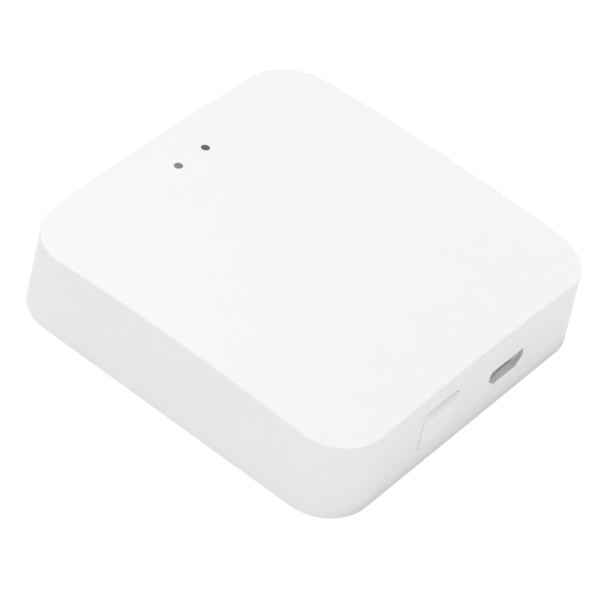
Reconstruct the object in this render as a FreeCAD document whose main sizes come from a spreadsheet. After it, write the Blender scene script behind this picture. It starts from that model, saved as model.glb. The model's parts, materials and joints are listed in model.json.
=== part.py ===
"""Smart home hub: a small crowned square box with two status lights, a reset button and a
power socket.

+X is to the right, -Y is the side with the button and the socket, +Z is up.
The origin is on the table, under the middle of the hub. Lengths are in millimetres.
"""
import FreeCAD, Part
import math
import os
import re
import Sketcher

DRIVING_SIZES = {
    # Outside of the hub.
    "hub_width": 60.0,
    "hub_depth": 60.0,
    "hub_height": 15.6,
    "crown_drop": 1.254,
    "corner_radius": 7.5,
    "corner_growth": 0.45,
    "side_draft": 0.3,
    "top_edge_radius": 0.3,
    "bottom_edge_radius": 0.12,
    "wall": 1.8,
    "roof": 1.8,
    # Base cover, its snap beads and the feet.
    "cover_gap": 0.15,
    "cover_thickness": 1.8,
    "rim_thickness": 1.1,
    "rim_gap": 0.3,
    "bead_radius": 0.4,
    "bead_length": 5.0,
    "bead_spacing": 30.0,
    "bead_gap": 0.1,
    "foot_diameter": 8.0,
    "foot_thickness": 1.0,
    "foot_proud": 0.4,
    "foot_inset": 10.0,
    "foot_gap": 0.1,
    "label_width": 34.0,
    "label_depth": 22.0,
    "label_sink": 0.25,
    "label_corner": 1.5,
    # Screw bosses and screws that hold the main board under the roof.
    "boss_radius": 2.5,
    "boss_inset": 5.6,
    "screw_radius": 1.0,
    "screw_length": 5.0,
    "screw_gap": 0.03,
    "screw_head_radius": 1.8,
    "screw_head_height": 1.1,
    "screw_crown_radius": 1.25,
    "screw_crown_height": 0.45,
    "screw_slot_width": 0.5,
    "screw_slot_depth": 0.6,
    # Main board.
    "board_margin": 0.5,
    "board_thickness": 1.2,
    "board_hole_gap": 0.15,
    "joint_line": 0.02,
    # Power socket and its opening in the front wall.
    "port_x": 8.1,
    "port_z": 6.95,
    "port_gap": 0.225,
    "port_nick": 0.4,
    "shell_width": 7.5,
    "shell_tall": 2.5,
    "shell_metal": 0.25,
    "shell_length": 5.4,
    "shell_sink": 0.62,
    "shell_bevel": 1.17,
    "tongue_width": 5.6,
    "tongue_thickness": 0.6,
    "tongue_sink": 0.5,
    "tongue_lift": 0.25,
    "tongue_root": 1.2,
    "tongue_root_gap": 0.05,
    "contact_width": 0.35,
    "contact_pitch": 0.65,
    "contact_thickness": 0.1,
    # Reset button and the switch behind it.
    "button_x": -7.9,
    "slot_low": 4.1,
    "slot_top_gap": 3.426,
    "slot_width": 8.0,
    "slot_corner": 0.95,
    "button_gap": 0.05,
    "button_proud": 0.08,
    "button_edge": 0.06,
    "dish_depth": 0.45,
    "dish_rim": 0.15,
    "dish_end": 1.6,
    "dish_top": 2.6,
    "dish_floor": 0.4,
    "lip_overlap": 0.6,
    "lip_thickness": 0.6,
    "lip_gap": 0.05,
    "nub_radius": 1.3,
    "nub_length": 0.2,
    "plunger_height": 1.89,
    "plunger_travel": 0.25,
    "plunger_radius": 0.85,
    "plunger_reach": 0.75,
    "plunger_inside": 1.2,
    "plunger_fit": 0.05,
    "notch_gap": 0.7,
    "notch_side_gap": 0.8,
    "switch_width": 6.4,
    "switch_depth": 3.3,
    "switch_tall": 3.7,
    "switch_metal": 0.2,
    "dome_radius": 1.6,
    "dome_thickness": 0.1,
    # Status lights.
    "led_spacing": 6.0,
    "led_inset": 6.8,
    "lens_diameter": 1.25,
    "lens_fit": 0.04,
    "lens_sink": 0.03,
    "pipe_radius": 1.4,
    "pipe_flange_radius": 2.1,
    "pipe_flange_height": 0.8,
    "pipe_roof_gap": 0.2,
    "pipe_led_gap": 0.3,
    "led_length": 1.6,
    "led_width": 0.8,
    "led_tall": 0.6,
    "shade_width": 11.0,
    "shade_depth": 5.0,
    "shade_tall": 3.4,
    "shade_fit": 0.1,
    # Network module, on the left.
    "network_width": 16.0,
    "network_length": 24.0,
    "network_edge": 1.2,
    "network_back": 13.2,
    "network_can_width": 15.0,
    "network_can_length": 17.0,
    "network_can_tall": 2.3,
    # Mesh radio module, on the right.
    "mesh_width": 15.0,
    "mesh_length": 20.0,
    "mesh_edge": 1.4,
    "mesh_back": 14.4,
    "mesh_can_width": 13.6,
    "mesh_can_length": 13.6,
    "mesh_can_tall": 1.9,
    "module_thickness": 0.8,
    "can_corner": 0.6,
    "can_metal": 0.2,
    "radio_chip_width": 5.0,
    "radio_chip_tall": 0.9,
    "can_edge": 0.8,
    "antenna_trace": 0.5,
    "antenna_metal": 0.05,
    "antenna_pitch": 1.5,
    # Power parts and the other loose components.
    "regulator_width": 6.5,
    "regulator_depth": 3.5,
    "regulator_tall": 1.7,
    "regulator_tab": 3.0,
    "inductor_width": 4.2,
    "inductor_tall": 2.1,
    "electrolytic_radius": 2.5,
    "electrolytic_tall": 5.2,
    "electrolytic_base": 5.3,
    "electrolytic_base_tall": 0.7,
    "flash_width": 5.2,
    "flash_depth": 5.3,
    "flash_tall": 1.8,
    "crystal_width": 3.2,
    "crystal_depth": 2.5,
    "crystal_tall": 0.8,
    "fuse_width": 3.2,
    "fuse_depth": 1.6,
    "fuse_tall": 0.7,
    "clamp_width": 2.9,
    "clamp_depth": 1.3,
    "clamp_tall": 1.0,
    "chip_length": 1.6,
    "chip_width": 0.8,
    "capacitor_tall": 0.8,
    "resistor_tall": 0.45,
    "chip_pitch": 3.0,
    "port_to_power": 2.0,
    "part_spacing": 1.2,
}

# Places and sizes that follow from the driving sizes.
DERIVED_SIZES = {
    "half_width": "hub_width / 2",
    "half_depth": "hub_depth / 2",
    "crown_radius": "(half_width * half_width + crown_drop * crown_drop) / (2 * crown_drop)",
    "crown_centre": "hub_height - crown_radius",
    "inner_width": "hub_width - 2 * wall",
    "inner_depth": "hub_depth - 2 * wall",
    "inner_corner": "corner_radius - wall",
    "cover_width": "inner_width - 2 * cover_gap",
    "cover_depth": "inner_depth - 2 * cover_gap",
    "cover_corner": "inner_corner - cover_gap",
    "cover_top": "foot_proud + cover_thickness",
    "rim_top": "min(board_bottom; slot_low) - rim_gap",
    "bead_height": "(cover_top + rim_top) / 2",
    "foot_x": "half_width - foot_inset",
    "foot_y": "half_depth - foot_inset",
    "boss_x": "inner_width / 2 - boss_inset",
    "boss_y": "inner_depth / 2 - boss_inset",
    "boss_roof": "hub_height - (boss_x * boss_x + boss_y * boss_y) / (2 * crown_radius) - roof",
    "port_width": "shell_width + 2 * port_gap",
    "port_tall": "shell_tall + 2 * port_gap",
    "port_bevel": "shell_bevel + (2 - sqrt(2)) * port_gap",
    "board_top": "port_z - shell_tall / 2",
    "board_bottom": "board_top - board_thickness",
    "board_width": "inner_width - 2 * board_margin",
    "board_depth": "inner_depth - 2 * board_margin",
    "board_corner": "inner_corner - board_margin",
    "front_face": "-half_depth",
    "front_inside": "-(half_depth - wall)",
    "shell_front": "front_face + shell_sink",
    "shell_back": "shell_front + shell_length",
    "tongue_front": "shell_front + tongue_sink",
    "tongue_back": "shell_back - tongue_root",
    "tongue_bottom": "port_z + tongue_lift",
    "tongue_top": "tongue_bottom + tongue_thickness",
    "root_bevel": "max(0; tongue_width / 2 - shell_width / 2 + shell_metal + shell_bevel)",
    "root_bottom": "port_z - shell_tall / 2 + shell_metal + root_bevel + tongue_root_gap",
    "root_top": "port_z + shell_tall / 2 - shell_metal - tongue_root_gap",
    "slot_tall": "hub_height - crown_drop - slot_top_gap - slot_low",
    "button_z": "slot_low + slot_tall / 2",
    "button_width": "slot_width - 2 * button_gap",
    "button_tall": "slot_tall - 2 * button_gap",
    "button_corner": "slot_corner - button_gap",
    "button_lean": "side_draft * (button_z - foot_proud) / (hub_height - foot_proud)",
    "button_front": "front_face + button_lean - button_proud",
    "lip_front": "front_inside + lip_gap",
    "lip_back": "lip_front + lip_thickness",
    "nub_back": "lip_back + nub_length",
    "plunger_z": "board_top + plunger_height",
    "plunger_tip": "nub_back + joint_line",
    "switch_front": "plunger_tip + plunger_reach",
    "notch_back": "lip_back + plunger_travel + notch_gap",
    "plunger_back": "switch_front + plunger_inside",
    "dome_front": "plunger_back + plunger_travel + dome_thickness",
    "dome_back": "dome_front + dome_thickness",
    "switch_back": "switch_front + switch_depth",
    "led_x": "led_spacing / 2",
    "led_y": "half_depth - led_inset",
    "lens_radius": "lens_diameter / 2",
    "lens_top": "hub_height - (led_x * led_x + led_y * led_y) / (2 * crown_radius)",
    "led_top": "board_top + led_tall",
    "pipe_bottom": "led_top + pipe_led_gap",
    "pipe_shoulder": "lens_top - roof - pipe_roof_gap",
    "shade_top": "board_top + shade_tall",
    "network_x": "-(board_width / 2 - network_edge - network_width / 2)",
    "network_y": "board_depth / 2 - network_back - network_length / 2",
    "mesh_x": "board_width / 2 - mesh_edge - mesh_width / 2",
    "mesh_y": "board_depth / 2 - mesh_back - mesh_length / 2",
    "module_top": "board_top + module_thickness",
    "power_y": "shell_back + port_to_power",
}

doc = FreeCAD.newDocument("smart_home_hub")
sheet = doc.addObject("Spreadsheet::Sheet", "Sizes")
for row, (size_name, size_value) in enumerate(DRIVING_SIZES.items(), start=1):
    sheet.set(f"A{row}", size_name)
    sheet.set(f"B{row}", str(size_value))
    sheet.setAlias(f"B{row}", size_name)
doc.recompute()


def expression(text):
    """Write out a size formula so that every name in it points at the sheet."""
    def spell(match):
        word = match.group()
        if word in DERIVED_SIZES:
            return "(" + expression(DERIVED_SIZES[word]) + ")"
        return "Sizes." + word if word in DRIVING_SIZES else word
    return re.sub(r"[a-z]\w*", spell, str(text))


def value(text):
    """The number that a size formula gives now."""
    return float(sheet.evalExpression(expression(text)))


def bind(thing, prop, text):
    """Tie a property to a size formula."""
    thing.setExpression(prop, expression(text))


def place(thing, x=0, y=0, z=0):
    for axis, text in zip("xyz", (x, y, z)):
        bind(thing, f"Placement.Base.{axis}", text)
    return thing


# ---- Sketches -------------------------------------------------------------------------------

def new_sketch(body, name, plane, height):
    """A sketch on a plane of the body's own origin, lifted along that plane's normal."""
    sketch = body.newObject("Sketcher::SketchObject", name)
    base = next(f for f in body.Origin.OriginFeatures if f.Role == plane + "_Plane")
    sketch.AttachmentSupport = [(base, "")]
    sketch.MapMode = "FlatFace"
    bind(sketch, "AttachmentOffset.Base.z", height)
    return sketch


def fix_point(sketch, curve, point, across, up):
    """Hold a sketch point at two distances from the sketch's origin."""
    for kind, axis, text in (("DistanceX", -2, across), ("DistanceY", -1, up)):
        if str(text) == "0":
            sketch.addConstraint(Sketcher.Constraint("PointOnObject", curve, point, axis))
            continue
        number = sketch.addConstraint(Sketcher.Constraint(kind, -1, 1, curve, point, value(text)))
        sketch.renameConstraint(number, f"{kind}_{number}")
        bind(sketch, f"Constraints.{kind}_{number}", text)


def fix_radius(sketch, curve, text):
    number = sketch.addConstraint(Sketcher.Constraint("Radius", curve, value(text)))
    sketch.renameConstraint(number, f"radius_{number}")
    bind(sketch, f"Constraints.radius_{number}", text)


def draw_polygon(sketch, corners):
    """Straight edges through corners, each a pair of size formulas."""
    points = [FreeCAD.Vector(value(a), value(b), 0) for a, b in corners]
    edges = [sketch.addGeometry(Part.LineSegment(start, end))
             for start, end in zip(points, points[1:] + points[:1])]
    for edge, following in zip(edges, edges[1:] + edges[:1]):
        sketch.addConstraint(Sketcher.Constraint("Coincident", edge, 2, following, 1))
    for edge, (across, up) in zip(edges, corners):
        fix_point(sketch, edge, 1, across, up)


def draw_circle(sketch, across, up, radius):
    centre = FreeCAD.Vector(value(across), value(up), 0)
    curve = sketch.addGeometry(Part.Circle(centre, FreeCAD.Vector(0, 0, 1), value(radius)))
    fix_point(sketch, curve, 3, across, up)
    fix_radius(sketch, curve, radius)


def draw_rounded(sketch, across, up, width, tall, radius):
    """A rectangle with four equal round corners about a centre."""
    cx, cy, r = value(across), value(up), value(radius)
    half_w, half_t = value(width) / 2, value(tall) / 2
    ends = [(-half_w + r, -half_t), (half_w - r, -half_t), (half_w, -half_t + r), (half_w, half_t - r),
            (half_w - r, half_t), (-half_w + r, half_t), (-half_w, half_t - r), (-half_w, -half_t + r)]
    ends = [FreeCAD.Vector(cx + x, cy + y, 0) for x, y in ends]
    sides = [sketch.addGeometry(Part.LineSegment(ends[n], ends[n + 1])) for n in (0, 2, 4, 6)]
    signs = [(1, -1), (1, 1), (-1, 1), (-1, -1)]
    arcs = []
    for turn, (sx, sy) in enumerate(signs):
        middle = FreeCAD.Vector(cx + sx * (half_w - r), cy + sy * (half_t - r), 0)
        circle = Part.Circle(middle, FreeCAD.Vector(0, 0, 1), r)
        start = (turn - 1) * math.pi / 2
        arcs.append(sketch.addGeometry(Part.ArcOfCircle(circle, start, start + math.pi / 2)))
    for n in range(4):
        sketch.addConstraint(Sketcher.Constraint("Tangent", sides[n], 2, arcs[n], 1))
        sketch.addConstraint(Sketcher.Constraint("Tangent", arcs[n], 2, sides[(n + 1) % 4], 1))
        sketch.addConstraint(Sketcher.Constraint("Horizontal" if n % 2 == 0 else "Vertical", sides[n]))
    for arc in arcs[1:]:
        sketch.addConstraint(Sketcher.Constraint("Equal", arcs[0], arc))
    fix_radius(sketch, arcs[0], radius)
    fix_point(sketch, arcs[0], 3, f"({across}) + ({width}) / 2 - ({radius})",
              f"({up}) - ({tall}) / 2 + ({radius})")
    fix_point(sketch, arcs[2], 3, f"({across}) - ({width}) / 2 + ({radius})",
              f"({up}) + ({tall}) / 2 - ({radius})")


DRAW = {"polygon": draw_polygon, "circle": draw_circle, "rounded": draw_rounded}


# ---- Solid features -------------------------------------------------------------------------

def new_body(label):
    body = doc.addObject("PartDesign::Body", label)
    body.Label = label
    return body


def outline(body, name, plane, low, high, shapes):
    """A sketch at the low end of an extrusion; on XZ the normal is -Y, so it sits at the high end."""
    sketch = new_sketch(body, name + "_sketch", plane, f"-({high})" if plane == "XZ" else low)
    for kind, *numbers in shapes:
        DRAW[kind](sketch, *numbers)
    return sketch


def pad(body, name, shapes, low, high, plane="XY"):
    """Material between two heights along the plane's axis."""
    feature = body.newObject("PartDesign::Pad", name)
    feature.Profile = outline(body, name, plane, low, high, shapes)
    bind(feature, "Length", f"({high}) - ({low})")
    body.Tip = feature
    doc.recompute()
    return feature


def pocket(body, name, shapes, low, high, plane="XY"):
    """A hole between two heights along the plane's axis; it has to take some material away."""
    before = body.Shape.Volume
    feature = body.newObject("PartDesign::Pocket", name)
    feature.Profile = outline(body, name, plane, low, high, shapes)
    feature.Reversed = True
    bind(feature, "Length", f"({high}) - ({low})")
    body.Tip = feature
    doc.recompute()
    if not body.Shape.Volume < before:
        raise RuntimeError(f"{body.Label}: pocket {name} takes nothing away")
    return feature


def fillet(body, name, radius, wanted):
    """Round the edges of the body that the test picks."""
    base = body.Tip
    feature = body.newObject("PartDesign::Fillet", name)
    names = [f"Edge{n}" for n, edge in enumerate(base.Shape.Edges, start=1) if wanted(edge)]
    feature.Base = (base, names)
    bind(feature, "Radius", radius)
    body.Tip = feature
    doc.recompute()
    return feature


def turned(label, corners):
    """A body turned about its own vertical axis from a half section."""
    body = new_body(label)
    sketch = new_sketch(body, label + "_section", "XZ", 0)
    draw_polygon(sketch, corners)
    feature = body.newObject("PartDesign::Revolution", label + "_turning")
    feature.Profile = sketch
    feature.ReferenceAxis = (sketch, ["V_Axis"])
    feature.Angle = 360
    body.Tip = feature
    doc.recompute()
    return body


def block(label, x, y, z, width, depth, tall):
    """A plain box, centred on x and y and standing on z."""
    box = doc.addObject("Part::Box", label)
    box.Label = label
    bind(box, "Length", width)
    bind(box, "Width", depth)
    bind(box, "Height", tall)
    return place(box, f"({x}) - ({width}) / 2", f"({y}) - ({depth}) / 2", z)


def rod_along(label, axis, x, y, z, radius, length):
    """A round bar centred on a point, lying along X or Y."""
    rod = doc.addObject("Part::Cylinder", label)
    bind(rod, "Radius", radius)
    bind(rod, "Height", length)
    tilt = FreeCAD.Vector(0, 1, 0) if axis == "X" else FreeCAD.Vector(-1, 0, 0)
    rod.Placement.Rotation = FreeCAD.Rotation(tilt, 90)
    if axis == "X":
        return place(rod, f"({x}) - ({length}) / 2", y, z)
    return place(rod, x, f"({y}) - ({length}) / 2", z)


def combine(kind, label, pieces):
    """A boolean, or a group of separate solids, of finished pieces."""
    result = doc.addObject(kind, label)
    result.Label = label
    if kind in ("Part::Cut", "Part::Common"):
        result.Base, result.Tool = pieces
    elif kind == "Part::Compound":
        result.Links = pieces
    else:
        result.Shapes = pieces
    doc.recompute()
    return result


def level_edge(height):
    """Test for the edges that lie at one height all along."""
    def wanted(edge):
        box = edge.BoundBox
        return abs(box.ZMin - value(height)) < 1e-3 and abs(box.ZMax - value(height)) < 1e-3
    return wanted


SUBPARTS = []
CORNERS = [(1, 1), (-1, 1), (-1, -1), (1, -1)]
SOCKET_CONTACTS = 5
NETWORK_FINGERS = 8
MESH_FINGERS = 7


def keep(thing):
    """Note a finished sub-part, which is written to a file of its own."""
    SUBPARTS.append(thing)
    return thing


# ---- Upper housing: crowned roof, four drafted walls, bosses, and the openings in them ---------

def crown_cut(body, name, radius):
    """Cut away everything above a dome about the vertical axis."""
    peak = f"crown_centre + ({radius})"
    reach = "hub_width + hub_depth"
    high = "hub_height + wall"
    foot = f"crown_centre + sqrt(({radius}) * ({radius}) - ({reach}) * ({reach}))"
    sketch = new_sketch(body, name + "_sketch", "XZ", 0)
    middle = FreeCAD.Vector(0, value("crown_centre"), 0)
    lean = math.asin(value(reach) / value(radius))
    circle = Part.Circle(middle, FreeCAD.Vector(0, 0, 1), value(radius))
    arc = sketch.addGeometry(Part.ArcOfCircle(circle, math.pi / 2 - lean, math.pi / 2))
    far, near = value(reach), value(high)
    rim = FreeCAD.Vector(far, value(foot), 0)
    side = sketch.addGeometry(Part.LineSegment(rim, FreeCAD.Vector(far, near, 0)))
    top = sketch.addGeometry(Part.LineSegment(FreeCAD.Vector(far, near, 0), FreeCAD.Vector(0, near, 0)))
    back = sketch.addGeometry(Part.LineSegment(FreeCAD.Vector(0, near, 0),
                                               FreeCAD.Vector(0, value(peak), 0)))
    for first, second in ((side, top), (top, back)):
        sketch.addConstraint(Sketcher.Constraint("Coincident", first, 2, second, 1))
    sketch.addConstraint(Sketcher.Constraint("Coincident", back, 2, arc, 2))
    sketch.addConstraint(Sketcher.Constraint("Coincident", arc, 1, side, 1))
    sketch.addConstraint(Sketcher.Constraint("Vertical", side))
    fix_point(sketch, arc, 3, 0, "crown_centre")
    fix_radius(sketch, arc, radius)
    fix_point(sketch, top, 1, reach, high)
    fix_point(sketch, back, 1, 0, high)
    sketch.addConstraint(Sketcher.Constraint("PointOnObject", back, 2, -2))
    groove = body.newObject("PartDesign::Groove", name)
    groove.Profile = sketch
    groove.ReferenceAxis = (sketch, ["V_Axis"])
    groove.Angle = 360
    body.Tip = groove
    doc.recompute()
    return groove


def make_cavity_core():
    """The hollow of the housing, as a solid: it follows the walls and the crown from inside."""
    core = new_body("cavity_core")
    pad(core, "core_block", [("rounded", 0, 0, "inner_width", "inner_depth", "inner_corner")],
        "0", "hub_height")
    crown_cut(core, "core_crown", "crown_radius - roof")
    return core


def port_outline(width, tall, bevel, nick):
    """The socket's outline: wide at the top, with its two lower corners cut off."""
    half, low, high = f"({width}) / 2", f"port_z - ({tall}) / 2", f"port_z + ({tall}) / 2"
    right = [(f"{half} - ({bevel})", low), (half, f"{low} + ({bevel})"),
             (half, f"{high} - ({nick})"), (f"{half} - ({nick})", high)]
    left = [(f"-({across})", up) for across, up in reversed(right)]
    return ("polygon", [(f"port_x + ({across})", up) for across, up in right + left])


def box_outline(left, right, low, high):
    """A rectangle given by its four sides."""
    return ("polygon", [(left, low), (right, low), (right, high), (left, high)])


def bead_places():
    """Label, direction and centre of each snap bead on the rim, two on every side."""
    for sign in (1, -1):
        for shift in (1, -1):
            along = f"{shift} * bead_spacing / 2"
            yield f"{sign}{shift}x".replace("-", "m"), "X", along, f"{sign} * cover_depth / 2"
            yield f"{sign}{shift}y".replace("-", "m"), "Y", f"{sign} * cover_width / 2", along


def make_beads(prefix, radius, length):
    beads = [rod_along(f"{prefix}_{name}", axis, x, y, "bead_height", radius, length)
             for name, axis, x, y in bead_places()]
    return combine("Part::MultiFuse", prefix + "s", beads)


def make_upper_housing():
    body = new_body("housing_moulding")
    foot = outline(body, "wall_foot", "XY", "foot_proud", 0,
                   [("rounded", 0, 0, "hub_width", "hub_depth", "corner_radius")])
    head = outline(body, "wall_head", "XY", "hub_height", 0,
                   [("rounded", 0, 0, "hub_width - 2 * side_draft", "hub_depth - 2 * side_draft",
                     "corner_radius + corner_growth")])
    loft = body.newObject("PartDesign::AdditiveLoft", "drafted_block")
    loft.Profile = foot
    loft.Sections = [head]
    loft.Ruled = True
    body.Tip = loft
    doc.recompute()
    crown_cut(body, "crown", "crown_radius")
    fillet(body, "top_round", "top_edge_radius", lambda edge: (
        edge.BoundBox.ZMin > value("hub_height / 2")
        and edge.BoundBox.ZMax < value("hub_height - crown_drop / 2")))
    fillet(body, "bottom_round", "bottom_edge_radius", level_edge("foot_proud"))
    hollow = body.newObject("PartDesign::Boolean", "hollow")
    hollow.Type = "Cut"
    hollow.setObjects([make_cavity_core()])
    body.Tip = hollow
    doc.recompute()
    pad(body, "bosses", [("circle", f"{sx} * boss_x", f"{sy} * boss_y", "boss_radius") for sx, sy in CORNERS],
        "board_top + joint_line", "boss_roof + roof / 2")
    pocket(body, "pilot_holes",
           [("circle", f"{sx} * boss_x", f"{sy} * boss_y", "screw_radius + screw_gap") for sx, sy in CORNERS],
           "board_top", "boss_roof - roof / 2")
    pocket(body, "port_opening", [port_outline("port_width", "port_tall", "port_bevel", "port_nick")],
           "front_face - wall", "front_inside + wall / 2", "XZ")
    pocket(body, "button_opening",
           [("rounded", "button_x", "button_z", "slot_width", "slot_tall", "slot_corner")],
           "front_face - wall", "front_inside + wall / 2", "XZ")
    pocket(body, "lens_holes", [("circle", f"{side} * led_x", "led_y", "lens_radius + lens_fit")
                                for side in (-1, 1)], "lens_top - 2 * roof", "hub_height + roof")
    grooves = make_beads("snap_groove", "bead_radius + bead_gap", "bead_length + 2 * bead_gap")
    return keep(combine("Part::Cut", "upper_housing", (body, grooves)))


# ---- Base cover and feet -----------------------------------------------------------------------

def make_base_cover():
    body = new_body("cover_moulding")
    pad(body, "plate", [("rounded", 0, 0, "cover_width", "cover_depth", "cover_corner")],
        "foot_proud", "cover_top")
    fillet(body, "plate_round", "bottom_edge_radius", level_edge("foot_proud"))
    pad(body, "rim", [("rounded", 0, 0, "cover_width", "cover_depth", "cover_corner"),
                      ("rounded", 0, 0, "cover_width - 2 * rim_thickness", "cover_depth - 2 * rim_thickness",
                       "cover_corner - rim_thickness")], "cover_top", "rim_top")
    seat_depth = "foot_thickness - foot_proud"
    pocket(body, "foot_seats",
           [("circle", f"{sx} * foot_x", f"{sy} * foot_y", "foot_diameter / 2 + foot_gap")
            for sx, sy in CORNERS],
           "0", f"foot_proud + {seat_depth}")
    pocket(body, "label_place", [("rounded", 0, 0, "label_width", "label_depth", "label_corner")],
           "0", "foot_proud + label_sink")
    beads = make_beads("snap_bead", "bead_radius", "bead_length")
    return keep(combine("Part::MultiFuse", "base_cover", [body, beads]))


def make_feet():
    for number, (sx, sy) in enumerate(CORNERS, start=1):
        foot = turned(f"rubber_foot_{number}", [
            (0, 0), ("foot_diameter / 2 - foot_proud / 2", 0), ("foot_diameter / 2", "foot_proud / 2"),
            ("foot_diameter / 2", "foot_thickness"), (0, "foot_thickness")])
        keep(place(foot, f"{sx} * foot_x", f"{sy} * foot_y"))


# ---- Main board and the screws that hold it -------------------------------------------------------

def make_main_board():
    body = new_body("main_board")
    pad(body, "laminate", [("rounded", 0, 0, "board_width", "board_depth", "board_corner")],
        "board_bottom", "board_top")
    pocket(body, "screw_holes",
           [("circle", f"{sx} * boss_x", f"{sy} * boss_y", "screw_radius + board_hole_gap")
            for sx, sy in CORNERS],
           "board_bottom", "board_top")
    side = "slot_width / 2 + lip_overlap + notch_side_gap"
    pocket(body, "button_notch",
           [box_outline(f"button_x - ({side})", f"button_x + ({side})", "-half_depth", "notch_back")],
           "board_bottom", "board_top")
    keep(body)


def make_board_screws():
    """Cross-head screws, up through the board into the bosses."""
    screws = []
    under = "board_bottom - joint_line"
    for number, (sx, sy) in enumerate(CORNERS, start=1):
        screw = turned(f"board_screw_{number}", [
            (0, "-screw_head_height"), ("screw_crown_radius", "-screw_head_height"),
            ("screw_head_radius", "screw_crown_height - screw_head_height"), ("screw_head_radius", 0),
            ("screw_radius", 0), ("screw_radius", "screw_length - screw_radius / 2"),
            ("screw_radius / 2", "screw_length"), (0, "screw_length")])
        for name, across, along in (("slot", "screw_head_radius", "screw_slot_width"),
                                    ("cross", "screw_slot_width", "screw_head_radius")):
            pocket(screw, f"{name}_{number}",
                   [box_outline(f"-({across}) / 2", f"({across}) / 2", f"-({along}) / 2", f"({along}) / 2")],
                   "-screw_head_height", "screw_slot_depth - screw_head_height")
        screws.append(place(screw, f"{sx} * boss_x", f"{sy} * boss_y", under))
    keep(combine("Part::Compound", "board_screws", screws))


# ---- Power socket ----------------------------------------------------------------------------------

def make_power_socket():
    shell = new_body("socket_shell")
    pad(shell, "shell_tube", [port_outline("shell_width", "shell_tall", "shell_bevel", "port_nick")],
        "shell_front", "shell_back", "XZ")
    pocket(shell, "shell_mouth",
           [port_outline("shell_width - 2 * shell_metal", "shell_tall - 2 * shell_metal",
                         "shell_bevel", "port_nick - shell_metal / 2")],
           "shell_front", "shell_back - shell_metal", "XZ")
    keep(shell)
    tongue = new_body("socket_tongue")
    left, right = "port_x - tongue_width / 2", "port_x + tongue_width / 2"
    pad(tongue, "tongue_root_block", [box_outline(left, right, "root_bottom", "root_top")],
        "tongue_back", "shell_back - shell_metal", "XZ")
    pad(tongue, "tongue_blade", [box_outline(left, right, "tongue_bottom", "tongue_top")],
        "tongue_front", "tongue_back", "XZ")
    keep(tongue)
    contacts = [block(f"socket_contact_{n}", f"port_x + {n - (SOCKET_CONTACTS + 1) / 2} * contact_pitch",
                      "(tongue_front + tongue_back) / 2", "tongue_bottom - contact_thickness",
                      "contact_width", "tongue_back - tongue_front - contact_width", "contact_thickness")
                for n in range(1, SOCKET_CONTACTS + 1)]
    keep(combine("Part::Compound", "socket_contacts", contacts))


# ---- Reset button and switch -----------------------------------------------------------------------

def make_reset_button():
    button = new_body("reset_button")
    pad(button, "cap", [("rounded", "button_x", "button_z", "button_width", "button_tall", "button_corner")],
        "button_front", "lip_back", "XZ")
    front = value("button_front")
    fillet(button, "cap_round", "button_edge",
           lambda edge: max(abs(edge.BoundBox.YMin - front), abs(edge.BoundBox.YMax - front)) < 1e-3)
    left, right = "button_x - button_width / 2 + dish_rim", "button_x + button_width / 2 - dish_rim"
    low, high = "button_z - button_tall / 2 + dish_rim", "button_z + button_tall / 2 - dish_rim"
    deepest = f"{high} - dish_top"
    rim = outline(button, "dish_rim_line", "XZ", 0, "button_front", [box_outline(left, right, low, high)])
    floor = outline(button, "dish_floor_line", "XZ", 0, "button_front + dish_depth",
                    [box_outline(f"{left} + dish_end", f"{right} - dish_end",
                                 f"{deepest} - dish_floor", deepest)])
    dish = button.newObject("PartDesign::SubtractiveLoft", "finger_dish")
    dish.Profile = rim
    dish.Sections = [floor]
    dish.Ruled = True
    button.Tip = dish
    doc.recompute()
    across = "slot_width / 2 + lip_overlap"
    pad(button, "lip", [box_outline(f"button_x - ({across})", f"button_x + ({across})",
                                    "button_z - button_tall / 2", "button_z + slot_tall / 2 + lip_overlap")],
        "lip_front", "lip_back", "XZ")
    pad(button, "nub", [("circle", "button_x", "plunger_z", "nub_radius")], "lip_back", "nub_back", "XZ")
    keep(button)


def make_switch():
    """Side-pressed tactile switch: case, metal frame, snap dome and plunger."""
    body = new_body("switch_body")
    half = "switch_width / 2"
    pad(body, "case", [box_outline(f"button_x - {half}", f"button_x + {half}",
                                   "board_top", "board_top + switch_tall")],
        "switch_front", "switch_back", "XZ")
    pocket(body, "dome_seat", [("circle", "button_x", "plunger_z", "dome_radius + plunger_fit")],
           "plunger_back - plunger_inside / 2", "dome_back", "XZ")
    pocket(body, "plunger_bore", [("circle", "button_x", "plunger_z", "plunger_radius + plunger_fit")],
           "switch_front", "plunger_back", "XZ")
    keep(body)
    frame = new_body("switch_frame")
    top, rear = "board_top + switch_tall", "switch_back"
    pad(frame, "frame_bend", [("polygon", [
        ("switch_front", top), ("switch_front", f"{top} + switch_metal"),
        (f"{rear} + switch_metal", f"{top} + switch_metal"), (f"{rear} + switch_metal", "board_top"),
        (rear, "board_top"), (rear, top)])],
        f"button_x - {half}", f"button_x + {half}", "YZ")
    keep(frame)
    dome = new_body("switch_dome")
    pad(dome, "dome_disc", [("circle", "button_x", "plunger_z", "dome_radius")],
        "dome_front", "dome_back", "XZ")
    keep(dome)
    plunger = new_body("switch_plunger")
    pad(plunger, "pin", [("circle", "button_x", "plunger_z", "plunger_radius")],
        "plunger_tip", "plunger_back", "XZ")
    pad(plunger, "collar", [("circle", "button_x", "plunger_z", "dome_radius - plunger_fit")],
        "plunger_back - plunger_inside / 2 + joint_line", "plunger_back", "XZ")
    keep(plunger)


# ---- Status lights ----------------------------------------------------------------------------------

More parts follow.
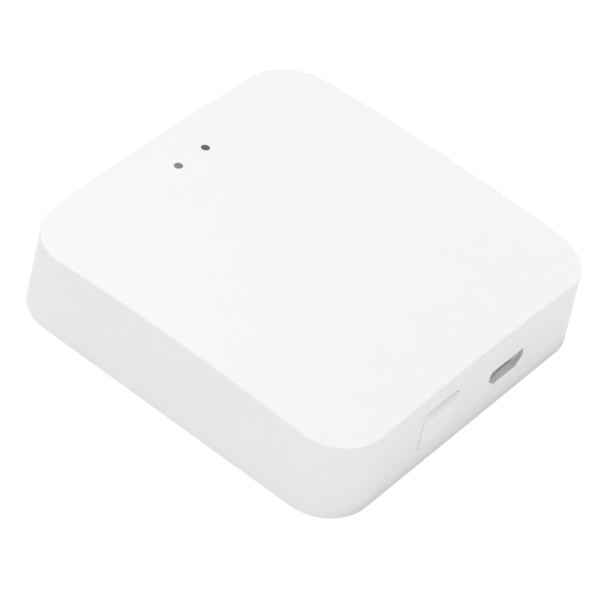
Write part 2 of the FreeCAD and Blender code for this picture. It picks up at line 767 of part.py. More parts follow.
def make_status_lights():
    for side, name in ((-1, "left"), (1, "right")):
        led = block(f"{name}_status_led", f"{side} * led_x", "led_y", "board_top",
                    "led_length", "led_width", "led_tall")
        keep(led)
        pipe = turned(f"{name}_pipe_turning", [
            (0, 0), ("pipe_radius", 0), ("pipe_radius", "pipe_shoulder - pipe_flange_height - pipe_bottom"),
            ("pipe_flange_radius", "pipe_shoulder - pipe_flange_height - pipe_bottom"),
            ("pipe_flange_radius", "pipe_shoulder - pipe_bottom"),
            ("lens_radius", "pipe_shoulder - pipe_bottom"), ("lens_radius", "hub_height - pipe_bottom"),
            (0, "hub_height - pipe_bottom")])
        place(pipe, f"{side} * led_x", "led_y", "pipe_bottom")
        dome = doc.addObject("Part::Sphere", f"{name}_lens_dome")
        bind(dome, "Radius", "crown_radius - lens_sink")
        place(dome, 0, 0, "crown_centre")
        keep(combine("Part::Common", f"{name}_light_pipe", (pipe, dome)))
    shade = new_body("light_shade")
    pad(shade, "foam", [("rounded", 0, "led_y", "shade_width", "shade_depth", "can_corner")],
        "board_top + joint_line", "shade_top")
    pocket(shade, "light_wells", [("circle", f"{side} * led_x", "led_y", "pipe_radius + shade_fit")
                                  for side in (-1, 1)], "board_top", "shade_top")
    keep(shade)


# ---- Radio modules -----------------------------------------------------------------------------------

def make_module(name, x, y, width, length, can_width, can_length, can_tall, fingers):
    """A small board with a shield can at the front end and a printed antenna at the back end."""
    card = new_body(f"{name}_module_board")
    pad(card, f"{name}_card", [("rounded", x, y, width, length, "can_corner")], "board_top", "module_top")
    keep(card)
    front = f"({y}) - ({length}) / 2 + can_edge"
    can = new_body(f"{name}_shield_can")
    middle = f"{front} + ({can_length}) / 2"
    pad(can, f"{name}_can", [("rounded", x, middle, can_width, can_length, "can_corner")],
        "module_top", f"module_top + {can_tall}")
    pocket(can, f"{name}_can_inside", [("rounded", x, middle, f"{can_width} - 2 * can_metal",
                                        f"{can_length} - 2 * can_metal", "can_corner - can_metal")],
           "module_top", f"module_top + {can_tall} - can_metal")
    keep(can)
    keep(block(f"{name}_radio_chip", x, middle, "module_top", "radio_chip_width", "radio_chip_width",
               "radio_chip_tall"))
    trace_low = f"{front} + ({can_length}) + 2 * antenna_trace"
    trace_high = f"({y}) + ({length}) / 2 - antenna_trace"
    strips = []
    for n in range(fingers):
        shift = f"({x}) + ({n - (fingers - 1) / 2}) * antenna_pitch"
        strips.append(block(f"{name}_finger_{n}", shift, f"({trace_low} + {trace_high}) / 2", "module_top",
                            "antenna_trace", f"({trace_high}) - ({trace_low})", "antenna_metal"))
        if n:
            end = f"{trace_high} - antenna_trace / 2" if n % 2 else f"{trace_low} + antenna_trace / 2"
            strips.append(block(f"{name}_turn_{n}", f"{shift} - antenna_pitch / 2", end, "module_top",
                                "antenna_pitch", "antenna_trace", "antenna_metal"))
    keep(combine("Part::MultiFuse", f"{name}_antenna", strips))


# ---- Power parts and loose components -----------------------------------------------------------------

def make_power_parts():
    keep(block("input_fuse", "port_x", "power_y + fuse_depth / 2", "board_top",
               "fuse_width", "fuse_depth", "fuse_tall"))
    keep(block("surge_clamp", "port_x + shell_width / 2 + part_spacing + clamp_width / 2",
               "shell_back - clamp_depth / 2", "board_top", "clamp_width", "clamp_depth", "clamp_tall"))
    regulator_y = "power_y + fuse_depth + part_spacing + regulator_depth / 2"
    body = block("regulator_case", "port_x", regulator_y, "board_top",
                 "regulator_width", "regulator_depth", "regulator_tall")
    tab = block("regulator_heat_tab", "port_x", f"{regulator_y} + regulator_depth / 2 + part_spacing / 2",
                "board_top", "regulator_tab", "part_spacing", "regulator_tall / 4")
    keep(combine("Part::MultiFuse", "voltage_regulator", [body, tab]))
    inductor = new_body("power_inductor")
    inductor_x = "port_x + regulator_width / 2 + part_spacing + inductor_width / 2"
    pad(inductor, "ferrite", [("rounded", inductor_x, regulator_y, "inductor_width", "inductor_width",
                               "2 * can_corner")], "board_top", "board_top + inductor_tall")
    keep(inductor)
    can_y = "network_y - network_length / 2 - part_spacing - electrolytic_base / 2"
    base = block("electrolytic_base", "network_x", can_y, "board_top",
                 "electrolytic_base", "electrolytic_base", "electrolytic_base_tall")
    drum = doc.addObject("Part::Cylinder", "electrolytic_drum")
    bind(drum, "Radius", "electrolytic_radius")
    bind(drum, "Height", "electrolytic_tall")
    place(drum, "network_x", can_y, "board_top")
    keep(combine("Part::MultiFuse", "electrolytic_capacitor", [base, drum]))
    keep(block("flash_chip", 0, "network_y", "board_top", "flash_width", "flash_depth", "flash_tall"))
    keep(block("clock_crystal", 0, "network_y + flash_depth + part_spacing", "board_top",
               "crystal_width", "crystal_depth", "crystal_tall"))


def make_chip_group(label, tall, first_y, rows, columns):
    """Small chip components in a grid beside the memory chip."""
    chips = [block(f"{label}_{row}_{column}", f"{column - (columns - 1) / 2} * chip_pitch",
                   f"{first_y} - {row} * chip_pitch", "board_top", "chip_length", "chip_width", tall)
             for row in range(rows) for column in range(columns)]
    keep(combine("Part::Compound", label, chips))


# ---- Everything together --------------------------------------------------------------------------------

def check(thing):
    """Stop if an object of the document failed to compute."""
    if {"Invalid", "Error"} & set(thing.State):
        raise RuntimeError(f"{thing.Label} failed: {thing.State}")


def write_subparts():
    os.makedirs("parts", exist_ok=True)
    for thing in doc.Objects:
        check(thing)
    for thing in SUBPARTS:
        shape = thing.Shape
        if shape.isNull() or not shape.isValid() or not shape.Solids:
            raise RuntimeError(f"{thing.Label} has no sound solid")
    for thing in SUBPARTS:
        thing.Shape.exportStep(f"parts/{thing.Label}.step")
        print(f"{thing.Label:24s} {len(thing.Shape.Solids)} solid(s) {thing.Shape.Volume:10.3f} mm3")


make_upper_housing()
make_base_cover()
make_feet()
make_main_board()
make_board_screws()
make_power_socket()
make_reset_button()
make_switch()
make_status_lights()
make_module("network", "network_x", "network_y", "network_width", "network_length",
            "network_can_width", "network_can_length", "network_can_tall", NETWORK_FINGERS)
make_module("mesh", "mesh_x", "mesh_y", "mesh_width", "mesh_length",
            "mesh_can_width", "mesh_can_length", "mesh_can_tall", MESH_FINGERS)
make_power_parts()
make_chip_group("ceramic_capacitors", "capacitor_tall", "network_y - flash_depth", 2, 4)
make_chip_group("resistors", "resistor_tall", "network_y - 2 * flash_depth", 2, 3)
doc.recompute()
write_subparts()
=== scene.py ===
# %% [markdown]
# # A white smart home hub
#
# The hub is a small square box: one white moulded shell, a base cover with four rubber feet, a reset
# button and a power socket in the front wall, and two status lights in the roof. The solid pieces come
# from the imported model. This lesson gives each of them the finish of the real thing, models the small
# pieces that a plain solid can't show, and lights the hub the way a product is lit for a shop.

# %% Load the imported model
import json
import math

import bmesh
import bpy
from mathutils import Matrix, Vector


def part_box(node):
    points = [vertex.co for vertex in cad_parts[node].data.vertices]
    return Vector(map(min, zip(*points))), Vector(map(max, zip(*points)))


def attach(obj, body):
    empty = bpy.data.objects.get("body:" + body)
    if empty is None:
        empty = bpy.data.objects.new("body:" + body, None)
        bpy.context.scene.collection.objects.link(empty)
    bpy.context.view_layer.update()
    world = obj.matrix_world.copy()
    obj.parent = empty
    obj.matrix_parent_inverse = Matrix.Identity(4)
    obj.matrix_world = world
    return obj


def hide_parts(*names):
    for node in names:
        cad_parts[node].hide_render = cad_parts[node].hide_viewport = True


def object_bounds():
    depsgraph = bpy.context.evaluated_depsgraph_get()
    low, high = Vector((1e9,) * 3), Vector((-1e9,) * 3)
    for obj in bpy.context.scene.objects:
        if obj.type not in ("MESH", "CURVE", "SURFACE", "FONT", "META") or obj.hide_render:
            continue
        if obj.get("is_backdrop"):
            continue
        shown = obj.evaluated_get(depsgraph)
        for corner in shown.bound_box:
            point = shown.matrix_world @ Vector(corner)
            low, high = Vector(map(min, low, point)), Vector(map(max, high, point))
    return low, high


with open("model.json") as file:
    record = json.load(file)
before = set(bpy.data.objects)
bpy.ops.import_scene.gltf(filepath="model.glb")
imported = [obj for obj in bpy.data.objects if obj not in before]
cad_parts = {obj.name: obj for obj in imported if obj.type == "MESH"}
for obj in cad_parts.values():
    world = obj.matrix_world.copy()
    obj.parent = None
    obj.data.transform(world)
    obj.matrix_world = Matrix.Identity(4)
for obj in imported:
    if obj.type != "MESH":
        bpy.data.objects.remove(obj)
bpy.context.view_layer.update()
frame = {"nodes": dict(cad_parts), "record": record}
nodes = frame["nodes"]
MM = 0.001

# %% [markdown]
# ## The camera
#
# A long lens far away keeps the box's edges nearly parallel. The camera looks down at the hub from the
# front left, and is rolled a little, so the box stands on a slant in the picture. The aim point is a few
# millimetres from the box's middle, which moves the hub in the picture without bending its perspective.

# %% Place the camera
CAMERA_AZIMUTH = -59.98
CAMERA_ELEVATION = 42.43
CAMERA_ROLL = -13.21
CAMERA_DISTANCE = 480.2 * MM
LENS = 203.2
SENSOR = 36.0
AIM_SHIFT = (-1.169 * MM, -3.338 * MM)


def direction(azimuth, elevation):
    """The unit vector towards an azimuth, counted from the front to the right, and an elevation."""
    turn, lift = math.radians(azimuth), math.radians(elevation)
    return Vector((math.sin(turn) * math.cos(lift), -math.cos(turn) * math.cos(lift), math.sin(lift)))


wall_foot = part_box("upper_housing")[0].z
wall_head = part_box("upper_housing")[1].z
middle = Vector((0, 0, (wall_foot + wall_head) / 2))
backwards = direction(CAMERA_AZIMUTH, CAMERA_ELEVATION)
level_right = direction(CAMERA_AZIMUTH + 90, 0)
level_up = backwards.cross(level_right)
roll = math.radians(CAMERA_ROLL)
view_right = math.cos(roll) * level_right - math.sin(roll) * level_up
view_up = math.sin(roll) * level_right + math.cos(roll) * level_up

place = middle + backwards * CAMERA_DISTANCE
aim = middle + view_right * AIM_SHIFT[0] + view_up * AIM_SHIFT[1]
sight = (place - aim).normalized()
right = view_up.cross(sight).normalized()
up = sight.cross(right)
camera_data = bpy.data.cameras.new("product_camera")
camera_data.lens = LENS
camera_data.sensor_width = SENSOR
camera_data.clip_start = 0.01
camera = bpy.data.objects.new("product_camera", camera_data)
camera.matrix_world = Matrix((
    (right.x, up.x, sight.x, place.x),
    (right.y, up.y, sight.y, place.y),
    (right.z, up.z, sight.z, place.z),
    (0, 0, 0, 1)))
scene = bpy.context.scene
scene.collection.objects.link(camera)
scene.camera = camera
print("camera at", [round(v, 3) for v in place])

# %% [markdown]
# ## Node helpers
#
# Every finish below is a small network of shader nodes. A few helpers keep the networks readable: one adds
# a node with its options and its inputs in one line, and the others open, close and place a node group
# with named sockets. A group is worth its trouble when more than one material uses the same effect,
# because the effect is then built once and each material only gives it its own numbers.

# %% Add nodes and open groups
def add(tree, kind, inputs=None, **options):
    """Add a shader node; an input may be a number, a colour, or another node's output."""
    node = tree.nodes.new("ShaderNode" + kind)
    for option, choice in options.items():
        setattr(node, option, choice)
    for socket, given in (inputs or {}).items():
        if isinstance(given, bpy.types.NodeSocket):
            tree.links.new(given, node.inputs[socket])
        else:
            node.inputs[socket].default_value = given
    return node


def math_node(tree, operation, first, second=0.0):
    """The output of a Math node with one or two inputs."""
    return add(tree, "Math", {0: first, 1: second}, operation=operation).outputs[0]


def open_group(name, inputs, outputs):
    """A node group with sockets (name, kind, starting value) in and (name, kind) out."""
    group = bpy.data.node_groups.new(name, "ShaderNodeTree")
    for label, kind, start in inputs:
        socket = group.interface.new_socket(name=label, in_out="INPUT", socket_type="NodeSocket" + kind)
        socket.default_value = start
    for label, kind in outputs:
        group.interface.new_socket(name=label, in_out="OUTPUT", socket_type="NodeSocket" + kind)
    entrance = group.nodes.new("NodeGroupInput")
    return group, entrance.outputs, group.nodes.new("NodeGroupOutput")


def close_group(group, exit_node, **results):
    """Lead the results out of a group's named sockets."""
    for label, result in results.items():
        group.links.new(result, exit_node.inputs[label])
    print(f"group {group.name}: {len(group.nodes)} nodes")


def use_group(tree, group, inputs):
    """Place a group in a material, with the material's own numbers, and return its outputs."""
    return add(tree, "Group", inputs, node_tree=group).outputs

# %% [markdown]
# ## Floor and lamps
#
# A product picture like this one is taken on a white sweep that is lit until it is pure white, inside a
# ring of soft boxes. The floor is white to the eye, but gives back only part of the light, so the lower
# edge of the walls darkens a little. The lamps stand in two rings: low ones that fill the walls, and high
# ones behind the hub that make the roof the brightest face. A soft light from all around, which is the
# world's own, reaches into the recesses.

# %% Floor
FLOOR_SIZE = 3.0
FLOOR_BOUNCE = 0.9

bm = bmesh.new()
bmesh.ops.create_grid(bm, x_segments=1, y_segments=1, size=FLOOR_SIZE)
floor_mesh = bpy.data.meshes.new("floor")
bm.to_mesh(floor_mesh)
bm.free()
floor = bpy.data.objects.new("floor", floor_mesh)
scene.collection.objects.link(floor)
floor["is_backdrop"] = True

floor_material = bpy.data.materials.new("white_sweep")
floor_material.use_nodes = True
tree = floor_material.node_tree
tree.nodes.clear()
bounce = add(tree, "BsdfDiffuse", {"Color": (FLOOR_BOUNCE, FLOOR_BOUNCE, FLOOR_BOUNCE, 1)})
paper = add(tree, "Emission", {"Color": (1, 1, 1, 1), "Strength": 1.0})
seen = add(tree, "LightPath").outputs["Is Camera Ray"]
sweep = add(tree, "MixShader", {0: seen, 1: bounce.outputs[0], 2: paper.outputs[0]})
add(tree, "OutputMaterial", {"Surface": sweep.outputs[0]})
floor_mesh.materials.append(floor_material)
print(f"floor {2 * FLOOR_SIZE} m wide, gives back {FLOOR_BOUNCE:.0%} of the light")

# %% Lamps
LAMP_DISTANCE = 1.0
LAMP_SIZE = 0.7
WORLD_LIGHT = 0.38
LAMPS = {  # name: azimuth, elevation, watts
    "low_left": (-90, 5, 1.12), "low_front_left": (-45, 15, 1.94), "low_front": (0, 15, 0.79),
    "low_front_right": (45, 15, 1.53), "low_right": (90, 15, 2.03), "high_back_right": (135, 60, 0.98),
    "high_back": (180, 60, 3.83), "high_back_left": (-135, 60, 2.06),
}

scene.view_settings.view_transform = "Standard"
world = bpy.data.worlds.new("studio")
world.use_nodes = True
world.node_tree.nodes["Background"].inputs["Color"].default_value = (1, 1, 1, 1)
world.node_tree.nodes["Background"].inputs["Strength"].default_value = WORLD_LIGHT
scene.world = world
for name, (azimuth, elevation, watts) in LAMPS.items():
    data = bpy.data.lights.new(name, "AREA")
    data.shape = "DISK"
    data.size = LAMP_SIZE
    data.energy = watts
    lamp = bpy.data.objects.new(name, data)
    lamp.location = direction(azimuth, elevation) * LAMP_DISTANCE
    lamp.rotation_euler = direction(azimuth, elevation).to_track_quat("Z", "Y").to_euler()
    scene.collection.objects.link(lamp)
print(f"{len(LAMPS)} lamps, {sum(w for _, _, w in LAMPS.values()):.1f} W")

# %% [markdown]
# ## Effects that several finishes share
#
# Moulded plastic, paint and rubber all have the same three traces of how they were made: a faint mottle of
# colour, a fine grain from the spark-eroded mould, and a gloss that wanders a little. The first group makes
# these from noise, in object space, so the grain has its real size. Its colour and roughness go into the
# shader, and its height goes into a Bump node.

# %% Group: moulded finish
moulded, given, exit_node = open_group("moulded_finish", [
    ("Place", "Vector", (0, 0, 0)), ("Colour", "Color", (0.8, 0.8, 0.8, 1)), ("Mottle", "Float", 0.02),
    ("Patch", "Float", 300.0), ("Grain", "Float", 4000.0), ("Gloss", "Float", 0.5),
    ("Gloss Spread", "Float", 0.1)],
    [("Colour", "Color"), ("Roughness", "Float"), ("Height", "Float")])
patches = add(moulded, "TexNoise", {"Vector": given["Place"], "Scale": given["Patch"], "Detail": 3.0})
swing = math_node(moulded, "MULTIPLY", math_node(moulded, "SUBTRACT", patches.outputs["Fac"], 0.5),
                  given["Mottle"])
shade = add(moulded, "VectorMath", {0: given["Colour"], "Scale": math_node(moulded, "ADD", swing, 1.0)},
            operation="SCALE")
grains = add(moulded, "TexNoise", {"Vector": given["Place"], "Scale": given["Grain"], "Detail": 2.0})
wander = math_node(moulded, "MULTIPLY", math_node(moulded, "SUBTRACT", grains.outputs["Fac"], 0.5),
                   given["Gloss Spread"])
close_group(moulded, exit_node, Colour=shade.outputs[0],
            Roughness=math_node(moulded, "ADD", given["Gloss"], wander), Height=grains.outputs["Fac"])

# %% [markdown]
# Rolled and drawn metal has fine parallel lines instead. Noise that is stretched a hundredfold along one
# axis gives them: the Stretch input scales the place before the noise reads it, so each material turns the
# lines its own way.

# %% Group: rolled metal
rolled, given, exit_node = open_group("rolled_metal", [
    ("Place", "Vector", (0, 0, 0)), ("Stretch", "Vector", (1, 1, 1)), ("Colour", "Color", (0.8, 0.8, 0.8, 1)),
    ("Stain", "Color", (0.6, 0.58, 0.55, 1)), ("Lines", "Float", 3000.0), ("Gloss", "Float", 0.3)],
    [("Colour", "Color"), ("Roughness", "Float"), ("Height", "Float")])
stretched = add(rolled, "VectorMath", {0: given["Place"], 1: given["Stretch"]}, operation="MULTIPLY")
lines = add(rolled, "TexNoise", {"Vector": stretched.outputs[0], "Scale": given["Lines"], "Detail": 3.0})
blotches = add(rolled, "TexNoise", {"Vector": given["Place"], "Scale": 500.0, "Detail": 4.0})
stained = add(rolled, "MapRange", {0: blotches.outputs["Fac"], 1: 0.5, 2: 0.75, 4: 0.6})
tinted = add(rolled, "Mix", {0: stained.outputs[0], 6: given["Colour"], 7: given["Stain"]}, data_type="RGBA")
gloss = math_node(rolled, "ADD", given["Gloss"], math_node(rolled, "MULTIPLY", lines.outputs["Fac"], 0.15))
close_group(rolled, exit_node, Colour=tinted.outputs[2], Roughness=gloss, Height=lines.outputs["Fac"])

# %% [markdown]
# A little dust settles on whatever faces up and is handled little, such as the pieces inside the hub and
# the tops of the feet. The mask is the upward part of the surface normal, broken up by noise.

# %% Group: settled dust
DUST_COLOUR = (0.62, 0.60, 0.57, 1)
dusty, given, exit_node = open_group("settled_dust", [
    ("Place", "Vector", (0, 0, 0)), ("Colour", "Color", (0.5, 0.5, 0.5, 1)), ("Amount", "Float", 0.3)],
    [("Colour", "Color")])
normal = add(dusty, "SeparateXYZ", {0: add(dusty, "NewGeometry").outputs["Normal"]})
facing_up = add(dusty, "MapRange", {0: normal.outputs["Z"], 1: 0.4, 2: 1.0})
flecks = add(dusty, "TexNoise", {"Vector": given["Place"], "Scale": 1800.0, "Detail": 5.0})
broken = add(dusty, "MapRange", {0: flecks.outputs["Fac"], 1: 0.45, 2: 0.7})
mask = math_node(dusty, "MULTIPLY", math_node(dusty, "MULTIPLY", facing_up.outputs[0], broken.outputs[0]),
                 given["Amount"])
grey = add(dusty, "Mix", {0: mask, 6: given["Colour"], 7: DUST_COLOUR}, data_type="RGBA")
close_group(dusty, exit_node, Colour=grey.outputs[2])

# %% [markdown]
# A circuit board shows its copper through the solder mask as slightly lighter lines, with pads and small
# plated holes between them. Nested squares around scattered points, taken from a Voronoi texture with
# Chebychev distance, run in parallel and turn at right angles, as a bundle of traces does. Noise chooses
# the regions where they run, and the rest is poured copper. A second Voronoi texture scatters the plated
# holes.

# %% Group: printed traces
LINE_WIDTH, HOLE_WIDTH = 0.42, 0.13
UNROUTED = 0.44
POURED_COPPER = 0.8
PLATING = (0.75, 0.6, 0.32, 1)
printed, given, exit_node = open_group("printed_traces", [
    ("Place", "Vector", (0, 0, 0)), ("Mask Colour", "Color", (0.02, 0.15, 0.06, 1)),
    ("Copper Colour", "Color", (0.05, 0.3, 0.12, 1)), ("Bundles", "Float", 130.0), ("Lines", "Float", 9.0),
    ("Holes", "Float", 350.0)],
    [("Colour", "Color"), ("Plated", "Float"), ("Height", "Float")])
flat = add(printed, "VectorMath", {0: given["Place"], 1: (1, 1, 0)}, operation="MULTIPLY")
squares = add(printed, "TexVoronoi", {"Vector": flat.outputs[0], "Scale": given["Bundles"]},
              distance="CHEBYCHEV", voronoi_dimensions="2D")
ripple = math_node(printed, "MULTIPLY", squares.outputs["Distance"], given["Lines"])
line = math_node(printed, "LESS_THAN", math_node(printed, "FRACT", ripple), LINE_WIDTH)
region = add(printed, "TexNoise", {"Vector": flat.outputs[0], "Scale": 90.0, "Detail": 0.0})
routed = math_node(printed, "GREATER_THAN", region.outputs["Fac"], UNROUTED)
trace = math_node(printed, "MAXIMUM", math_node(printed, "MULTIPLY", line, routed),
                  math_node(printed, "SUBTRACT", POURED_COPPER, routed))
dots = add(printed, "TexVoronoi", {"Vector": flat.outputs[0], "Scale": given["Holes"]},
           voronoi_dimensions="2D")
plated = math_node(printed, "LESS_THAN", dots.outputs["Distance"], HOLE_WIDTH)
covered = add(printed, "Mix", {0: trace, 6: given["Mask Colour"], 7: given["Copper Colour"]},
              data_type="RGBA")
bare = add(printed, "Mix", {0: plated, 6: covered.outputs[2], 7: PLATING}, data_type="RGBA")
close_group(printed, exit_node, Colour=bare.outputs[2], Plated=plated, Height=trace)

# %% [markdown]
# ## Finishes
#
# Each finish starts the same way: an empty material, its Principled shader, and the object's own
# coordinates in metres. The makers below join one of the shared effects to the shader, so a plastic part,
# a metal part and a board each take one line, and the parts that need something of their own get their own
# cell.

# %% Makers of finishes
finishes = {}


def new_finish(name, metallic=0.0, **sockets):
    """An empty material with its shader and object coordinates; whole-surface values go on the sockets."""
    material = bpy.data.materials.new(name)
    material.use_nodes = True
    tree = material.node_tree
    shader = tree.nodes["Principled BSDF"]
    shader.inputs["Metallic"].default_value = metallic
    for socket, number in sockets.items():
        shader.inputs[socket.replace("_", " ")].default_value = number
    finishes[name] = material
    return tree, shader, add(tree, "TexCoord").outputs["Object"]


def join(tree, shader, colour, roughness, height, relief):
    """Lead colour and roughness into the shader, and the height into its normal through a bump."""
    tree.links.new(colour, shader.inputs["Base Color"])
    tree.links.new(roughness, shader.inputs["Roughness"])
    bump = add(tree, "Bump", {"Height": height, "Distance": relief})
    tree.links.new(bump.outputs["Normal"], shader.inputs["Normal"])


def moulded_finish(name, colour, gloss, mottle=0.03, patch=300, grain=4000, relief=0.004 * MM, dust=0.0,
                   **sockets):
    """Moulded plastic, rubber or resin: mottle, grain and wandering gloss, with dust where it collects."""
    tree, shader, place = new_finish(name, **sockets)
    made = use_group(tree, moulded, {"Place": place, "Colour": (*colour, 1), "Mottle": mottle, "Patch": patch,
                                     "Grain": grain, "Gloss": gloss, "Gloss Spread": 0.15})
    shade = made["Colour"]
    if dust:
        shade = use_group(tree, dusty, {"Place": place, "Colour": shade, "Amount": dust})["Colour"]
    join(tree, shader, shade, made["Roughness"], made["Height"], relief)


def metal_finish(name, colour, stain, gloss, stretch=(1, 0.02, 1), lines=3000, relief=0.002 * MM):
    """Rolled or drawn metal: fine lines one way and a few dull stains."""
    tree, shader, place = new_finish(name, metallic=1.0)
    made = use_group(tree, rolled, {"Place": place, "Stretch": stretch, "Colour": (*colour, 1),
                                    "Stain": (*stain, 1), "Lines": lines, "Gloss": gloss})
    join(tree, shader, made["Colour"], made["Roughness"], made["Height"], relief)


def board_finish(name, mask_colour, copper_colour, bundles, lines, holes):
    """Solder mask over copper traces, with bare plated holes."""
    tree, shader, place = new_finish(name, Coat_Weight=0.3, Coat_Roughness=0.2)
    made = use_group(tree, printed, {"Place": place, "Mask Colour": (*mask_colour, 1),
                                     "Copper Colour": (*copper_colour, 1), "Bundles": bundles,
                                     "Lines": lines, "Holes": holes})
    shade = use_group(tree, dusty, {"Place": place, "Colour": made["Colour"], "Amount": 0.12})["Colour"]
    weave = add(tree, "TexWave", {"Vector": place, "Scale": 900.0, "Distortion": 0.4},
                bands_direction="DIAGONAL")
    rough = add(tree, "MapRange", {0: weave.outputs["Fac"], 3: 0.32, 4: 0.42})
    tree.links.new(made["Plated"], shader.inputs["Metallic"])
    join(tree, shader, shade, rough.outputs[0], made["Height"], 0.02 * MM)

# %% [markdown]
# A few finishes below have shade painted into their colour in some places. A mask is a number from 0 to 1 at
# each point of a surface. These are worked out from the point's own place in the piece, so they stay put when
# the piece moves. A ramp gives a mask with a soft edge, and the product of several is full only where all of
# them are. There the finish's colour is multiplied by a shade of grey, just before the shader, so its mottle
# and grain stay as they were.

# %% Masks and shades
def own_place(finish):
    """A finish's node tree, and the x, y and z of a point in the piece's own metres."""
    tree = finishes[finish].node_tree
    place = add(tree, "SeparateXYZ", {0: add(tree, "TexCoord").outputs["Object"]}).outputs
    return tree, place["X"], place["Y"], place["Z"]


def ramp(tree, number, empty, full):
    """A mask that goes from 0 to 1 while a number goes from one limit to the other, up or down."""
    return add(tree, "MapRange", {0: number, 1: empty, 2: full}).outputs[0]


def where_all(tree, *masks):
    """The product of some masks, which is full only where all of them are."""
    product = masks[0]
    for mask in masks[1:]:
        product = math_node(tree, "MULTIPLY", product, mask)
    return product


def shade_where(finish, mask, shade):
    """Multiply a finish's colour by a shade wherever the mask is full."""
    tree = finishes[finish].node_tree
    colour = tree.nodes["Principled BSDF"].inputs["Base Color"]
    mixed = add(tree, "Mix", {0: mask, 6: colour.links[0].from_socket, 7: (shade, shade, shade, 1)},
                data_type="RGBA", blend_type="MULTIPLY")
    tree.links.new(mixed.outputs[2], colour)
    print(f"{finish}: {shade} of its colour where the mask is full")

# %% [markdown]
# ### The white shell
#
# The shell is a fine matt white plastic. Its grain is only a few thousandths of a millimetre deep, so it
# shows as a faint sparkle rather than a texture, and a clear white is kept from looking like plaster by a
# soft gloss. The button's white is a trace brighter than the shell's. Its sides, down in the gap, are a grey
# finish with a little dust: the grey is painted shade, for the gap that light hardly gets into. The base
# cover, which nobody looks at, is a slightly coarser and duller white.

# %% White plastics
moulded_finish("shell_white", (0.85, 0.85, 0.85), 0.5, mottle=0.012, patch=220, grain=3200)
moulded_finish("button_white", (0.875, 0.875, 0.875), 0.5, mottle=0.012, patch=220, grain=3200)
# painted shade: this grey on the key's sides stands for the shade down in the gap, with a little real dust
moulded_finish("gap_painted_shade_and_dust", (0.42, 0.42, 0.41), 0.8, mottle=0.2, patch=1500, dust=0.2)
moulded_finish("cover_white", (0.80, 0.80, 0.79), 0.58, patch=260, grain=2400, relief=0.008 * MM)
print(len(finishes), "finishes for the shell, the button and the cover")

# %% [markdown]
# Painted shade: the hollow under the key's top edge is painted darker, as the shadow of the wall's edge above
# it, in a band that fades downwards and ends at the key's two sides. Only a faint strip of painted shade goes
# on down the left edge. Behind the wall the key has a lip that reaches past its face at the top and at both
# sides, so the node's box is wider than the face, and the band's ends are counted in widths of that overlap.

# %% Painted shade in the button's hollow
LIP_OVERLAP = 0.65 * MM
BAND_FADES, BAND_FULL = 2.45 * MM, 0.35 * MM
BAND_CURVE = 0.75
PAINTED_BAND_SHADE = 0.825
LEFT_END = (0.6 * LIP_OVERLAP, 3.4 * LIP_OVERLAP)
RIGHT_END = (0.95 * LIP_OVERLAP, 1.5 * LIP_OVERLAP)
LEFT_STRIP = (2.1 * LIP_OVERLAP, 0.8 * LIP_OVERLAP)
PAINTED_STRIP_STRENGTH = 0.23
key_low, key_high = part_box("reset_button")
face_top = key_high.z - LIP_OVERLAP
tree, x, _, z = own_place("button_white")
band = math_node(tree, "POWER", ramp(tree, z, face_top - BAND_FADES, face_top - BAND_FULL), BAND_CURVE)
left_end = ramp(tree, x, key_low.x + LEFT_END[0], key_low.x + LEFT_END[1])
right_end = ramp(tree, x, key_high.x - RIGHT_END[0], key_high.x - RIGHT_END[1])
strip = math_node(tree, "MULTIPLY", ramp(tree, x, key_low.x + LEFT_STRIP[0], key_low.x + LEFT_STRIP[1]),
                  PAINTED_STRIP_STRENGTH)
painted_hollow_shade = math_node(tree, "MAXIMUM", where_all(tree, band, left_end, right_end), strip)
# painted shade: the key's colour is darkened in the band and the strip
shade_where("button_white", painted_hollow_shade, PAINTED_BAND_SHADE)

# %% [markdown]
# Two places of the shell have shade painted into their colour. The foot of the front wall is painted darker,
# fading upwards, as the shade near the floor, and the right-hand wall of the power opening is painted darker,
# as the shade inside the opening. Both masks need to know how far a point lies behind the front face, which
# leans back: the first one stays on the face, and the second one is a small block of space that starts behind
# it and ends a little outside the opening.

# %% Painted shade at the foot of the front wall
FOOT_PAINTED_SHADE = 0.88
FOOT_FADES, FOOT_FULL = 3.0 * MM, 0.4 * MM
FOOT_CURVE = 1.5
LEAVES_FACE = (1.5 * MM, 0.1 * MM)
WALL_LEAN = 0.3 * MM
wall_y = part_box("upper_housing")[0].y
tree, x, y, z = own_place("shell_white")
front = add(tree, "MapRange", {0: z, 1: wall_foot, 2: wall_head, 3: wall_y, 4: wall_y + WALL_LEAN})
depth = math_node(tree, "SUBTRACT", y, front.outputs[0])
painted_foot_shade = math_node(tree, "POWER", ramp(tree, z, FOOT_FADES, FOOT_FULL), FOOT_CURVE)
# painted shade: the foot of the front wall is darkened in its colour
shade_where("shell_white", where_all(tree, painted_foot_shade, ramp(tree, depth, *LEAVES_FACE)), FOOT_PAINTED_SHADE)

# %% Painted shade on the right wall of the power opening
REVEAL_PAINTED_SHADE = 0.77
REVEAL_SHADE_FROM, REVEAL_SHADE_FULL, REVEAL_SHADE_END = 10.6 * MM, 11.2 * MM, 12.9 * MM
REVEAL_SHADE_LOW, REVEAL_SHADE_HIGH = 5.0 * MM, 8.8 * MM
REVEAL_SHADE_STARTS = (0.03 * MM, 0.08 * MM)
REVEAL_SHADE_DEPTH = 2.0 * MM
painted_reveal_shade = where_all(
    tree, ramp(tree, x, REVEAL_SHADE_FROM, REVEAL_SHADE_FULL), ramp(tree, depth, *REVEAL_SHADE_STARTS),
    math_node(tree, "LESS_THAN", depth, REVEAL_SHADE_DEPTH), math_node(tree, "LESS_THAN", x, REVEAL_SHADE_END),
    math_node(tree, "GREATER_THAN", z, REVEAL_SHADE_LOW), math_node(tree, "LESS_THAN", z, REVEAL_SHADE_HIGH))
# painted shade: the right-hand wall of the opening is darkened in its colour
shade_where("shell_white", painted_reveal_shade, REVEAL_PAINTED_SHADE)
